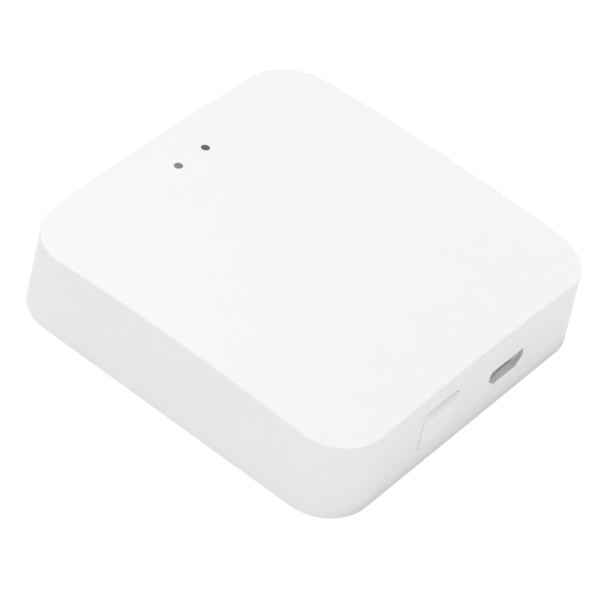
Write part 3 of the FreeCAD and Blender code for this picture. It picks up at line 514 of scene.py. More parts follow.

# %% [markdown]
# ### Everything else
#
# The feet are soft grey rubber. The two light guides are smoky clear plastic: the left one is a lighter grey
# than the right one. Inside are green and blue boards, tinned and nickelled steel, gold on the contacts and
# antennas, black moulded chips, ferrite, aluminium and ceramic.

# %% Plastics, rubber and resin
moulded_finish("foot_rubber", (0.55, 0.55, 0.55), 0.82, mottle=0.12, patch=500, grain=2200,
               relief=0.02 * MM, dust=0.3)
moulded_finish("left_lens", (0.247, 0.249, 0.252), 0.22, mottle=0.5, patch=1200, grain=3000,
               relief=0.002 * MM, Transmission_Weight=0.15, IOR=1.58)
moulded_finish("right_lens", (0.132, 0.133, 0.135), 0.22, mottle=0.5, patch=1200, grain=3000,
               relief=0.002 * MM, Transmission_Weight=0.15, IOR=1.58)
moulded_finish("socket_pale", (0.62, 0.62, 0.60), 0.45, mottle=0.1, grain=5000)
moulded_finish("switch_black", (0.03, 0.03, 0.032), 0.55, mottle=0.2, dust=0.2)
moulded_finish("plunger_cream", (0.72, 0.68, 0.58), 0.45, mottle=0.08)
moulded_finish("light_resin", (0.80, 0.76, 0.55), 0.18, mottle=0.15, Transmission_Weight=0.3)
moulded_finish("light_case", (0.86, 0.86, 0.84), 0.4)
moulded_finish("shade_foam", (0.02, 0.02, 0.02), 0.95, mottle=0.5, patch=2500, grain=2500,
               relief=0.08 * MM, dust=0.15)
moulded_finish("chip_black", (0.022, 0.022, 0.024), 0.62, mottle=0.25, patch=900, grain=7000,
               relief=0.006 * MM, dust=0.15)
moulded_finish("ferrite_grey", (0.075, 0.075, 0.08), 0.7, mottle=0.35, patch=1500, grain=5000,
               relief=0.012 * MM, dust=0.1)
moulded_finish("ceramic_tan", (0.36, 0.22, 0.12), 0.4, mottle=0.25, patch=2500, grain=6000)
moulded_finish("glaze_black", (0.015, 0.015, 0.018), 0.3, mottle=0.3, patch=2500)
moulded_finish("ceramic_white", (0.78, 0.77, 0.74), 0.5, mottle=0.1, patch=1500)
print(len(finishes), "finishes so far")

# %% Metals and boards
metal_finish("tinned_steel", (0.66, 0.66, 0.65), (0.50, 0.49, 0.47), 0.30)
metal_finish("shield_steel", (0.50, 0.50, 0.49), (0.38, 0.37, 0.35), 0.36, stretch=(0.03, 1, 1))
metal_finish("socket_steel", (0.92, 0.92, 0.91), (0.83, 0.82, 0.80), 0.68)
metal_finish("zinc_steel", (0.42, 0.43, 0.45), (0.30, 0.30, 0.30), 0.38, stretch=(1, 1, 0.05))
metal_finish("contact_gold", (0.83, 0.61, 0.27), (0.62, 0.42, 0.18), 0.25)
metal_finish("drum_aluminium", (0.78, 0.78, 0.78), (0.62, 0.62, 0.61), 0.28, stretch=(1, 1, 0.02))
metal_finish("solder", (0.70, 0.70, 0.69), (0.52, 0.52, 0.52), 0.32, stretch=(1, 1, 1), lines=900,
             relief=0.02 * MM)
metal_finish("copper_wire", (0.72, 0.33, 0.16), (0.45, 0.18, 0.08), 0.3, stretch=(1, 1, 0.1))
board_finish("main_board_green", (0.012, 0.10, 0.045), (0.03, 0.19, 0.085), 120, 9, 320)
board_finish("module_blue", (0.008, 0.02, 0.07), (0.02, 0.05, 0.15), 260, 7, 700)
print(len(finishes), "finishes in all")

# %% [markdown]
# The shell's colour has shade painted into it in four places: on the cut edge of the mouth, along the
# left-hand and right-hand sides, and in the middle from half a millimetre in, where the inside of the socket
# lies in shade.

# %% Painted shade inside the socket's shell
MOUTH_PAINTED_SHADE, LEFT_PAINTED_SHADE, RIGHT_PAINTED_SHADE, PATCH_PAINTED_SHADE = 0.80, 0.82, 0.92, 0.76
EDGE_ENDS = (0.15 * MM, 0.05 * MM)
LEFT_SIDE_SPAN = (4.5 * MM, 1.0 * MM)
RIGHT_SIDE_SPAN = (6.0 * MM, 7.0 * MM)
PATCH_LEFT, PATCH_RIGHT = (2.8 * MM, 3.6 * MM), (6.5 * MM, 5.7 * MM)
PATCH_DEPTH = (0.34 * MM, 0.60 * MM)
shell_low, shell_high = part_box("socket_shell")
tree, x, y, _ = own_place("socket_steel")
in_from_mouth = math_node(tree, "SUBTRACT", y, shell_low.y)
from_left = math_node(tree, "SUBTRACT", x, shell_low.x)
behind_edge = ramp(tree, in_from_mouth, *reversed(EDGE_ENDS))
# painted shade: each mask darkens the shell's colour where its inside lies in shade
shade_where("socket_steel", ramp(tree, in_from_mouth, *EDGE_ENDS), MOUTH_PAINTED_SHADE)
shade_where("socket_steel", where_all(tree, ramp(tree, from_left, *LEFT_SIDE_SPAN), behind_edge), LEFT_PAINTED_SHADE)
shade_where("socket_steel", where_all(tree, ramp(tree, from_left, *RIGHT_SIDE_SPAN), behind_edge), RIGHT_PAINTED_SHADE)
patch = where_all(tree, ramp(tree, from_left, *PATCH_LEFT), ramp(tree, from_left, *PATCH_RIGHT),
                  ramp(tree, in_from_mouth, *PATCH_DEPTH))
shade_where("socket_steel", patch, PATCH_PAINTED_SHADE)

# %% [markdown]
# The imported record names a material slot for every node, so one table sends each slot to its finish.

# %% Give every solid piece its finish
SLOT_FINISH = {
    "housing_plastic": "shell_white", "button_plastic": "button_white", "base_plastic": "cover_white",
    "foot_rubber": "foot_rubber", "board_laminate": "main_board_green", "module_laminate": "module_blue",
    "plated_steel": "tinned_steel", "screw_steel": "zinc_steel", "socket_plastic": "socket_pale",
    "contact_gold": "contact_gold", "antenna_copper": "contact_gold", "lens_plastic": "left_lens",
    "led_package": "light_resin", "shade_foam": "shade_foam", "switch_plastic": "switch_black",
    "plunger_plastic": "plunger_cream", "chip_epoxy": "chip_black", "ferrite": "ferrite_grey",
    "drum_aluminium": "drum_aluminium", "ceramic": "ceramic_tan", "resistor_film": "glaze_black",
}
NODE_FINISH = {"right_light_pipe": "right_lens", "socket_shell": "socket_steel",
               "network_shield_can": "shield_steel", "mesh_shield_can": "shield_steel"}


def dress(node, finish):
    """Put a finish in the place of whatever a piece came with."""
    node.data.materials.clear()
    node.data.materials.append(finishes[finish])


for part in frame["record"]["subparts"]:
    name = part["node"]
    dress(nodes[name], NODE_FINISH.get(name, SLOT_FINISH[part["material_slot"]]))
print(f"{len(nodes)} nodes dressed")

# %% [markdown]
# ## Tools for the small pieces
#
# Most pieces in a hub are stamped, moulded or turned, so three makers go a long way: a block whose edges are
# bevelled, a rod between two points, and a profile spun about an upright axis. Each adds its faces to a
# bmesh, and the block and the rod mark them with a finish number, so that one piece can be black resin with
# tinned legs. Bevels have a helper of their own, because the operator's defaults differ from the editor's,
# and so have rims that are extruded step by step. The last two helpers turn the bmesh into a piece that rides
# on its body, and find the separate solids of a node.

# %% Blocks, rods and turned profiles
SAME_POINT = 0.0001 * MM


def mark_new(bm, before, finish):
    """Give every face made since `before` its finish number."""
    for face in bm.faces:
        if face not in before:
            face.material_index = finish


def round_off(bm, geom, width, segments=2, affect="EDGES"):
    """Bevel some edges, or corners, to a round of a given width."""
    bmesh.ops.bevel(bm, geom=geom, offset=width, offset_type="OFFSET", segments=segments, profile=0.5,
                    affect=affect, material=-1)


def push_rim(bm, rim):
    """Extrude the rim of an open skin, and return the new rim."""
    grown = bmesh.ops.extrude_edge_only(bm, edges=rim)["geom"]
    return [item for item in grown if isinstance(item, bmesh.types.BMEdge) and item.is_boundary]


def add_block(bm, corner, opposite, bevel=0.0, segments=2, finish=0, taper=1.0):
    """A box between two opposite corners, with rounded edges; a taper below one narrows its top."""
    before = set(bm.faces)
    verts = bmesh.ops.create_cube(bm, size=1.0)["verts"]
    corner, opposite = Vector(corner), Vector(opposite)
    for vert in verts:
        if vert.co.z > 0:
            vert.co.xy *= taper
    bmesh.ops.scale(bm, vec=[abs(side) for side in opposite - corner], verts=verts)
    bmesh.ops.translate(bm, vec=(corner + opposite) / 2, verts=verts)
    if bevel:
        round_off(bm, list({edge for vert in verts for edge in vert.link_edges}), bevel, segments)
    mark_new(bm, before, finish)


def add_rod(bm, foot, head, radius, sides, bevel=0.0, finish=0):
    """A round bar from foot to head, with a rounded rim at both ends when a bevel is given."""
    before = set(bm.faces)
    foot, head = Vector(foot), Vector(head)
    turn = (head - foot).to_track_quat("Z", "Y").to_matrix().to_4x4()
    bmesh.ops.create_cone(bm, cap_ends=True, segments=sides, radius1=radius, radius2=radius,
                          depth=(head - foot).length, matrix=Matrix.Translation((foot + head) / 2) @ turn)
    if bevel:
        round_off(bm, list({edge for face in bm.faces if face not in before and len(face.verts) == sides
                            for edge in face.edges}), bevel)
    mark_new(bm, before, finish)


def add_turned(bm, profile, foot, sides):
    """Spin a profile of (radius, height) points about an upright axis that it starts and ends on."""
    before = set(bm.faces)
    verts = [bm.verts.new((radius, 0, height)) for radius, height in profile]
    edges = [bm.edges.new(pair) for pair in zip(verts, verts[1:])]
    bmesh.ops.spin(bm, geom=verts + edges, cent=(0, 0, 0), axis=(0, 0, 1), angle=2 * math.pi, steps=sides,
                   use_merge=True)
    made = list({vert for face in bm.faces if face not in before for vert in face.verts})
    bmesh.ops.remove_doubles(bm, verts=made, dist=SAME_POINT)
    made = list({vert for face in bm.faces if face not in before for vert in face.verts})
    bmesh.ops.translate(bm, vec=foot, verts=made)


def finish_piece(bm, name, finish_names, body, stands_for=(), angle=35):
    """Turn the faces outwards, give the finishes, smooth by angle, tie the piece to its body and hide its
    nodes.
    """
    bmesh.ops.recalc_face_normals(bm, faces=bm.faces)
    mesh = bpy.data.meshes.new(name)
    bm.to_mesh(mesh)
    bm.free()
    for finish in finish_names:
        mesh.materials.append(finishes[finish])
    mesh.shade_smooth()
    mesh.set_sharp_from_angle(angle=math.radians(angle))
    piece = bpy.data.objects.new(name, mesh)
    scene.collection.objects.link(piece)
    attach(piece, body)
    if stands_for:
        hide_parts(*stands_for)
    print(f"{name}: {len(mesh.polygons)} faces, {[round(side / MM, 2) for side in piece.dimensions]} mm")


def boxes_in(node):
    """The box of each separate solid in a node, read from a merged copy of its mesh, left to right."""
    bm = bmesh.new()
    bm.from_mesh(nodes[node].data)
    bmesh.ops.remove_doubles(bm, verts=bm.verts, dist=SAME_POINT)
    waiting, boxes = set(bm.verts), []
    while waiting:
        island, edge = set(), [waiting.pop()]
        while edge:
            vert = edge.pop()
            island.add(vert)
            for link in vert.link_edges:
                other = link.other_vert(vert)
                if other in waiting:
                    waiting.remove(other)
                    edge.append(other)
        boxes.append((Vector([min(v.co[i] for v in island) for i in range(3)]),
                      Vector([max(v.co[i] for v in island) for i in range(3)])))
    bm.free()
    return sorted(boxes, key=lambda pair: tuple(pair[0]))

# %% [markdown]
# ## The reset button
#
# The button is a key in the front wall, flush with it and only a hair smaller than its opening. A shallow
# hollow across its upper part guides a fingertip: it dives in below the top edge, is deepest a millimetre
# down and then comes back to the wall. A grid of small faces takes that shape well, because every vertex is
# simply pushed in by the hollow's depth there, and its corners are drawn in to arcs: a vertex keeps its
# direction from the arc's middle, but not its distance. The whole face leans back with the wall. The border
# is then extruded back in a few small steps that round the rim. The gap is widest along the top and the
# left, and the key's top right corner is a little rounder than the opening's. Behind the wall the key has a
# lip that keeps it from falling out, and a round nub that meets the switch.

# %% Sizes of the key
CAD_GAP = 0.05 * MM
GAPS = {"left": 0.080 * MM, "right": 0.006 * MM, "bottom": 0.006 * MM, "top": 0.075 * MM}
KEY_LEFT = key_low.x + LIP_OVERLAP - CAD_GAP + GAPS["left"]
KEY_RIGHT = key_high.x - LIP_OVERLAP + CAD_GAP - GAPS["right"]
KEY_BOTTOM = key_low.z - CAD_GAP + GAPS["bottom"]
KEY_TOP = key_high.z - LIP_OVERLAP + CAD_GAP - GAPS["top"]
KEY_CORNER = 0.97 * MM
WORN_CORNER = 1.07 * MM
RIM = 0.03 * MM
PROUD = 0.012 * MM
HOLLOW_DEPTH = 0.16 * MM
HOLLOW_DEEPEST = 1.0 * MM
HOLLOW_LENGTH = 3.2 * MM
HOLLOW_SIDE = 0.8 * MM
LIP_FRONT = key_high.y - 0.8 * MM
LIP_BACK = key_high.y - 0.2 * MM
NUB_RADIUS = 1.3 * MM
print(f"key {(KEY_RIGHT - KEY_LEFT) / MM:.2f} x {(KEY_TOP - KEY_BOTTOM) / MM:.2f} mm")


def smooth_step(number):
    """Ease from 0 to 1 without a kink at either end."""
    number = max(0.0, min(1.0, number))
    return number * number * (3 - 2 * number)


def wall_front(z):
    """Where the wall's face stands at a height, as it leans back from its foot to its head."""
    return wall_y + WALL_LEAN * (z - wall_foot) / (wall_head - wall_foot)


def hollow(x, z):
    """How far the face lies behind the wall: none at the rim, deepest a little below the top edge."""
    from_top = KEY_TOP - RIM - z
    falling = smooth_step(from_top / HOLLOW_DEEPEST)
    rising = smooth_step((from_top - HOLLOW_DEEPEST) / (HOLLOW_LENGTH - HOLLOW_DEEPEST))
    from_side = min(x - KEY_LEFT, KEY_RIGHT - x) - RIM
    return HOLLOW_DEPTH * falling * (1 - rising) * smooth_step(from_side / HOLLOW_SIDE)


def from_corner(x, z):
    """The nearest corner's radius and middle, and the way from there to a point of the face."""
    rightwards, upwards = x > (KEY_LEFT + KEY_RIGHT) / 2, z > (KEY_BOTTOM + KEY_TOP) / 2
    radius = WORN_CORNER if rightwards and upwards else KEY_CORNER
    corner = Vector((max(KEY_LEFT + radius, min(KEY_RIGHT - radius, x)), 0,
                     max(KEY_BOTTOM + radius, min(KEY_TOP - radius, z))))
    return radius, corner, Vector((x, 0, z)) - corner

# %% Face of the key
FACE_COLUMNS, FACE_ROWS = 79, 67
bm = bmesh.new()
turn_to_front = Matrix.Rotation(math.radians(90), 4, "X")
bmesh.ops.create_grid(bm, x_segments=FACE_COLUMNS, y_segments=FACE_ROWS, size=0.5, matrix=turn_to_front)
for vert in bm.verts:
    vert.co.x = KEY_LEFT + RIM + (vert.co.x + 0.5) * (KEY_RIGHT - KEY_LEFT - 2 * RIM)
    vert.co.z = KEY_BOTTOM + RIM + (vert.co.z + 0.5) * (KEY_TOP - KEY_BOTTOM - 2 * RIM)
    radius, corner, arm = from_corner(vert.co.x, vert.co.z)
    arm = arm.normalized() * max(abs(arm.x), abs(arm.z))
    vert.co.x, vert.co.z = corner.x + arm.x, corner.z + arm.z
    vert.co.y = wall_front(vert.co.z) - PROUD + hollow(vert.co.x, vert.co.z)
print(len(bm.faces), "faces in the key's face")

# %% Rim, lip and nub of the key
RIM_STEPS = (  # shares of the rim's radius, outwards and back; the last step goes back to the lip
    (0.38, 0.08), (0.71, 0.29), (0.92, 0.62), (1.0, 1.0), (1.0, None))
LIP_LIFT, LIP_ROUND = 0.07 * MM, 0.1 * MM
NUB_SUNK, NUB_ROUND = 0.1 * MM, 0.04 * MM
border = [edge for edge in bm.edges if edge.is_boundary]
for out, back in RIM_STEPS:
    border = push_rim(bm, border)
    for vert in {vert for edge in border for vert in edge.verts}:
        radius, corner, arm = from_corner(vert.co.x, vert.co.z)
        arm = arm.normalized() * (radius - RIM + out * RIM)
        vert.co.x, vert.co.z = corner.x + arm.x, corner.z + arm.z
        if back is None:
            vert.co.y = (LIP_FRONT + LIP_BACK) / 2
        else:
            vert.co.y = wall_front(vert.co.z) - PROUD + hollow(vert.co.x, vert.co.z) + back * RIM
bmesh.ops.holes_fill(bm, edges=border)
bm.normal_update()
for face in bm.faces:
    # the key's sides take the gap's painted shade
    face.material_index = 1 if abs(face.normal.y) < 0.5 else 0
add_block(bm, (key_low.x, LIP_FRONT, key_low.z + LIP_LIFT), (key_high.x, LIP_BACK, key_high.z), LIP_ROUND)
nub_z = (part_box("switch_plunger")[0].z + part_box("switch_plunger")[1].z) / 2
key_x = (key_low.x + key_high.x) / 2
add_rod(bm, (key_x, LIP_BACK - NUB_SUNK, nub_z), (key_x, key_high.y, nub_z), NUB_RADIUS, 32, NUB_ROUND)
finish_piece(bm, "reset_key", ["button_white", "gap_painted_shade_and_dust"], "button", ["reset_button"],
             angle=50)

# %% [markdown]
# ## The power socket's shell
#
# The shell is folded from one strip of plated sheet, so its corners are round, and its mouth is flared a
# little to guide the plug. The fold's seam is on the underside, against the board, and is left out. A few
# vertices give the outline; the corners are bevelled, the rim is extruded from the flared mouth to the
# back, the back is closed, and Solidify turns the skin into sheet of a real thickness. Small pressed
# springs on the top hold the plug, and two soldered feet on each side hold the shell on the board.

# %% Skin of the socket's shell
FLARE, FLARE_LENGTH = 0.03 * MM, 0.35 * MM
STRAIGHT_FROM = 0.56 * MM
LOWER_SLOPE = 1.17 * MM
UPPER_NICK = 0.4 * MM
FOLD_RADIUS = 0.25 * MM
socket_x = (shell_low.x + shell_high.x) / 2
socket_z = (shell_low.z + shell_high.z) / 2


def sheet_outline(bm, y):
    """The shell's outer outline at one depth: its two lower corners are cut at a slope, its upper nicked."""
    left, right, low, high = shell_low.x, shell_high.x, shell_low.z, shell_high.z
    corners = [(left, low + LOWER_SLOPE), (left + LOWER_SLOPE, low), (right - LOWER_SLOPE, low),
               (right, low + LOWER_SLOPE), (right, high - UPPER_NICK), (right - UPPER_NICK, high),
               (left + UPPER_NICK, high), (left, high - UPPER_NICK)]
    face = bm.faces.new([bm.verts.new((x, y, z)) for x, z in corners])
    round_off(bm, list(face.verts), FOLD_RADIUS, 4, "VERTICES")


bm = bmesh.new()
sheet_outline(bm, shell_low.y)
bmesh.ops.delete(bm, geom=bm.faces[:], context="FACES_ONLY")
rim = bm.edges[:]
for depth in (FLARE_LENGTH, STRAIGHT_FROM, shell_high.y - shell_low.y):
    rim = push_rim(bm, rim)
    for vert in {vert for edge in rim for vert in edge.verts}:
        vert.co.y = shell_low.y + depth
bmesh.ops.holes_fill(bm, edges=rim)
for vert in bm.verts:
    if vert.co.y < shell_low.y + FLARE_LENGTH / 2:
        vert.co.x += FLARE * (1 if vert.co.x > socket_x else -1)
        vert.co.z += FLARE * (1 if vert.co.z > socket_z else -1)
print(len(bm.faces), "faces in the shell's skin")

# %% Sheet, springs and feet of the socket's shell
SHEET = 0.22 * MM
MOUTH_ROUND = 0.05 * MM
SPRING_WIDTH, SPRING_LENGTH = 0.9 * MM, 1.9 * MM
SPRING_SUNK, SPRING_RISE = 0.02 * MM, 0.06 * MM
SPRING_FROM_MIDDLE, SPRING_FROM_MOUTH = 1.8 * MM, 1.2 * MM
SHELL_FEET = (1.3 * MM, 3.9 * MM)
SHELL_FOOT_WIDTH, SHELL_FOOT_REACH = 0.9 * MM, 0.5 * MM
SPRING_ROUND, SHELL_FOOT_ROUND = 0.03 * MM, 0.05 * MM
bmesh.ops.recalc_face_normals(bm, faces=bm.faces)
bmesh.ops.solidify(bm, geom=bm.faces[:], thickness=SHEET)
mouth = [edge for edge in bm.edges if edge.calc_face_angle(0) > math.radians(60)
         and max(vert.co.y for vert in edge.verts) < shell_low.y + FLARE_LENGTH / 2]
round_off(bm, mouth, MOUTH_ROUND)
for side, edge_x in ((-1, shell_low.x), (1, shell_high.x)):
    at, start = socket_x + side * SPRING_FROM_MIDDLE, shell_low.y + SPRING_FROM_MOUTH
    add_block(bm, (at - SPRING_WIDTH / 2, start, shell_high.z - SPRING_SUNK),
              (at + SPRING_WIDTH / 2, start + SPRING_LENGTH, shell_high.z + SPRING_RISE), SPRING_ROUND)
    for along in SHELL_FEET:
        start = shell_low.y + along
        add_block(bm, (edge_x - side * (LOWER_SLOPE + FOLD_RADIUS), start, shell_low.z),
                  (edge_x + side * SHELL_FOOT_REACH, start + SHELL_FOOT_WIDTH, shell_low.z + SHEET),
                  SHELL_FOOT_ROUND)
finish_piece(bm, "socket_mouth", ["socket_steel"], "housing", ["socket_shell"], angle=40)

# %% [markdown]
# ## Chips with soldered ends
#
# Capacitors, resistors, the fuse and the surge clamp are all small bricks with a metal cap on each end. One
# maker builds them from the box of the solid piece they stand for: a bevelled body, two caps that wrap
# round it, and a sloping solder joint at the foot of each cap. A resistor has a coat of glaze on its top,
# and the clamp a white stripe at one end.

# %% Maker of end-capped chips
CHIP_SKIN = 0.02 * MM
JOINT_OUT, JOINT_IN, JOINT_SIDE = 0.18 * MM, 0.12 * MM, 0.06 * MM
JOINT_HEIGHT, JOINT_TAPER = 0.55, 0.72
BRICK_ROUND, CAP_ROUND, JOINT_ROUND = 0.04 * MM, 0.05 * MM, 0.09 * MM
COAT_SIDE, COAT_FOOT, COAT_TOP, COAT_ROUND = 0.1 * MM, 0.03 * MM, 0.005 * MM, 0.01 * MM


def add_capped_chip(bm, low, high, cap):
    """A brick with metal end caps: finish 0 is its body, 1 its caps and 2 the solder."""
    skin = Vector((CHIP_SKIN, CHIP_SKIN, CHIP_SKIN))
    add_block(bm, low + skin, high - skin, BRICK_ROUND)
    joint_top = low.z + JOINT_HEIGHT * (high.z - low.z)
    for end, inward in ((low.x, 1), (high.x, -1)):
        add_block(bm, (end, low.y, low.z), (end + inward * cap, high.y, high.z), CAP_ROUND, 3, finish=1)
        add_block(bm, (end - inward * JOINT_OUT, low.y + JOINT_SIDE, low.z),
                  (end + inward * JOINT_IN, high.y - JOINT_SIDE, joint_top), JOINT_ROUND, 3, finish=2,
                  taper=JOINT_TAPER)


def add_coat(bm, low, high, start, end, finish):
    """A thin coat across a chip's top, between two places along it."""
    add_block(bm, (start, low.y + COAT_SIDE, high.z - COAT_FOOT),
              (end, high.y - COAT_SIDE, high.z - COAT_TOP), COAT_ROUND, 1, finish)

# %% Capacitors, resistors, fuse and surge clamp
CAPPED = {  # node: new name, body finish, cap length, material slot
    "ceramic_capacitors": ("chip_capacitors", "ceramic_tan", 0.32 * MM, "ceramic"),
    "resistors": ("chip_resistors", "glaze_black", 0.28 * MM, "resistor_film"),
    "input_fuse": ("fuse_chip", "ceramic_white", 0.6 * MM, "ceramic"),
    "surge_clamp": ("clamp_chip", "chip_black", 0.35 * MM, "chip_epoxy"),
}
for node, (name, body_finish, cap, slot) in CAPPED.items():
    bm = bmesh.new()
    for low, high in boxes_in(node):
        add_capped_chip(bm, low, high, cap)
        if node == "resistors":
            add_coat(bm, low, high, low.x + cap, high.x - cap, 0)
        if node == "surge_clamp":
            add_coat(bm, low, high, low.x + 1.3 * cap, low.x + 1.8 * cap, 3)
    finish_piece(bm, name, [body_finish, "tinned_steel", "solder", "ceramic_white"], "housing", [node])

# %% [markdown]
# ## Chips with legs
#
# The regulator and the flash chip are black resin blocks on bent legs. A leg leaves the body half way up,
# goes down at a slope and ends in a flat foot on its solder pad. It is a strip of sheet: one edge, pushed
# along five points with an extrude for each, then given its thickness. The route is written as shares of
# the leg's reach and of its drop. The body's upper sides slope, because the mould has to open, and a glossy
# round mark stands by the flash chip's first leg.

# %% Maker of bent legs
LEG_SHEET = 0.18 * MM
RESIN_ROUND, RESIN_TAPER, STAND_OFF = 0.05 * MM, 0.96, 0.12 * MM
LEG_ROUTE = [(-0.15, 0.0), (0.18, 0.0), (0.38, 0.12), (0.5, 0.88), (0.66, 1.0), (1.0, 1.0)]


def add_leg(bm, root, outward, width, reach, drop):
    """A gull-wing leg from a point on a body's side, outwards along x or y, down to its pad."""
    before = set(bm.faces)
    root, outward = Vector(root), Vector(outward)
    across = Vector((outward.y, outward.x, 0)) * width / 2
    start = root + outward * reach * LEG_ROUTE[0][0]
    verts = [bm.verts.new(start - across), bm.verts.new(start + across)]
    edges = [bm.edges.new(verts)]
    for out, down in LEG_ROUTE[1:]:
        grown = bmesh.ops.extrude_edge_only(bm, edges=edges)["geom"]
        edges = [item for item in grown if isinstance(item, bmesh.types.BMEdge) and len(item.link_faces) == 1
                 and not any(vert in verts for vert in item.verts)]
        verts = [vert for edge in edges for vert in edge.verts]
        for vert in verts:
            side = across if (vert.co - start).dot(across) > 0 else -across
            vert.co = root + outward * reach * out + Vector((0, 0, -drop * down)) + side
    made = [face for face in bm.faces if face not in before]
    bmesh.ops.recalc_face_normals(bm, faces=made)
    bmesh.ops.solidify(bm, geom=made, thickness=LEG_SHEET)
    mark_new(bm, before, 1)


def add_legged_body(bm, low, high):
    """A moulded block off the board, whose upper half narrows away from the parting line."""
    waist = (low.z + high.z) / 2
    add_block(bm, (low.x, low.y, waist), high, RESIN_ROUND, taper=RESIN_TAPER)
    add_block(bm, (low.x, low.y, low.z + STAND_OFF), (high.x, high.y, waist), RESIN_ROUND)

# %% Regulator
LEG_REACH, LEG_PITCH = 1.0 * MM, 2.3 * MM
LEG_WIDTH, TAB_WIDTH = 0.7 * MM, 3.0 * MM
FOOT_LIFT = 0.1 * MM
low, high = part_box("voltage_regulator")
middle = (low + high) / 2
leg_drop = middle.z - low.z - FOOT_LIFT
bm = bmesh.new()
add_legged_body(bm, Vector((low.x, low.y + LEG_REACH, low.z)), Vector((high.x, high.y - LEG_REACH, high.z)))
for shift in (-LEG_PITCH, 0, LEG_PITCH):
    add_leg(bm, (middle.x + shift, low.y + LEG_REACH, middle.z), (0, -1, 0), LEG_WIDTH, LEG_REACH, leg_drop)
add_leg(bm, (middle.x, high.y - LEG_REACH, middle.z), (0, 1, 0), TAB_WIDTH, LEG_REACH, leg_drop)
finish_piece(bm, "legged_regulator", ["chip_black", "tinned_steel"], "housing", ["voltage_regulator"])

# %% Flash chip
FLASH_REACH, FLASH_PITCH, FLASH_LEG = 0.7 * MM, 1.27 * MM, 0.42 * MM
MARK_INSET, MARK_RADIUS, MARK_SUNK, MARK_ROUND = 0.8 * MM, 0.28 * MM, 0.05 * MM, 0.01 * MM
low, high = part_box("flash_chip")
middle = (low + high) / 2
leg_drop = middle.z - low.z - FOOT_LIFT
bm = bmesh.new()
body_low = Vector((low.x + FLASH_REACH, low.y, low.z))
body_high = Vector((high.x - FLASH_REACH, high.y, high.z))
add_legged_body(bm, body_low, body_high)
mark = Vector((body_low.x + MARK_INSET, body_low.y + MARK_INSET, high.z))
add_rod(bm, mark - Vector((0, 0, MARK_SUNK)), mark, MARK_RADIUS, 24, MARK_ROUND, finish=2)
for row in (-1.5, -0.5, 0.5, 1.5):
    for side, edge_x in ((-1, body_low.x), (1, body_high.x)):
        add_leg(bm, (edge_x, middle.y + row * FLASH_PITCH, middle.z), (side, 0, 0), FLASH_LEG, FLASH_REACH,
                leg_drop)
finish_piece(bm, "legged_flash_chip", ["chip_black", "tinned_steel", "glaze_black"], "housing",
             ["flash_chip"])

# %% [markdown]
# ## The supply capacitor
#
# The aluminium can is spun metal: a profile turned about its axis gives the rolled groove that seals it and
# the round shoulder. Its top is scored with a cross, so it can open safely under pressure, and is black at
# one side, which marks the negative lead. It stands on a plastic base with two cut corners.

# %% Can of the supply capacitor
BASE_HEIGHT = 0.7 * MM
SCORE_TURN, SCORE_REACH, SCORE_RADIUS, SCORE_SUNK = 0.3, 1.5 * MM, 0.035 * MM, 0.03 * MM
SIDE_MARK_FROM, SIDE_MARK_DEPTH = 1.45 * MM, 0.2 * MM
low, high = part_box("electrolytic_capacitor")
centre = (low + high) / 2
base_top = low.z + BASE_HEIGHT
tall = (high.z - base_top) / MM
profile = [  # radius and height in millimetres
    (0, 0), (2.38, 0), (2.46, 0.06), (2.50, 0.15), (2.50, 0.60), (2.44, 0.72), (2.30, 0.84), (2.26, 0.95),
    (2.30, 1.06), (2.44, 1.18), (2.50, 1.30), (2.50, tall - 0.35), (2.46, tall - 0.18),
    (2.36, tall - 0.06), (2.20, tall), (1.95, tall - 0.03), (0, tall - 0.03)]
bm = bmesh.new()
add_turned(bm, [(radius * MM, height * MM) for radius, height in profile], (centre.x, centre.y, base_top), 48)
top_middle = Vector((centre.x, centre.y, high.z - SCORE_SUNK))
for turn in (SCORE_TURN, SCORE_TURN + math.pi / 2):
    arm = Vector((math.cos(turn), math.sin(turn), 0)) * SCORE_REACH
    add_rod(bm, top_middle - arm, top_middle + arm, SCORE_RADIUS, 8, finish=1)
for face in bm.faces:
    at = face.calc_center_median()
    if at.y - centre.y > SIDE_MARK_FROM and at.z > high.z - SIDE_MARK_DEPTH:
        face.material_index = 2
print(len(bm.faces), "faces in the can")

# %% Base and contacts of the supply capacitor
CORNER_CUT = 0.9 * MM
CONTACT_OUT, CONTACT_IN = 0.35 * MM, 0.9 * MM
CONTACT_HALF, CONTACT_HEIGHT, CONTACT_ROUND = 0.35 * MM, 0.15 * MM, 0.03 * MM
before = set(bm.verts)
add_block(bm, low, (high.x, high.y, base_top), finish=2)
corners = [edge for edge in bm.edges if not any(vert in before for vert in edge.verts)
           and abs(edge.verts[0].co.z - edge.verts[1].co.z) > BASE_HEIGHT / 2
           and edge.verts[0].co.x > centre.x]
round_off(bm, corners, CORNER_CUT, 1)
for side, edge_x in ((-1, low.x), (1, high.x)):
    add_block(bm, (edge_x + side * CONTACT_OUT, centre.y - CONTACT_HALF, low.z),
              (centre.x + side * CONTACT_IN, centre.y + CONTACT_HALF, low.z + CONTACT_HEIGHT),
              CONTACT_ROUND, finish=3)
finish_piece(bm, "supply_capacitor", ["drum_aluminium", "chip_black", "switch_black", "tinned_steel"],
             "housing", ["electrolytic_capacitor"], angle=30)

# %% [markdown]
# ## The power inductor
#
# An inductor of this kind is a ferrite drum with copper wire on its waist. The two square flanges are
# bevelled blocks, the waist is a rod, and the wire is a helix: a small ring of vertices, spun about the
# axis and moved up a wire's width in every turn.

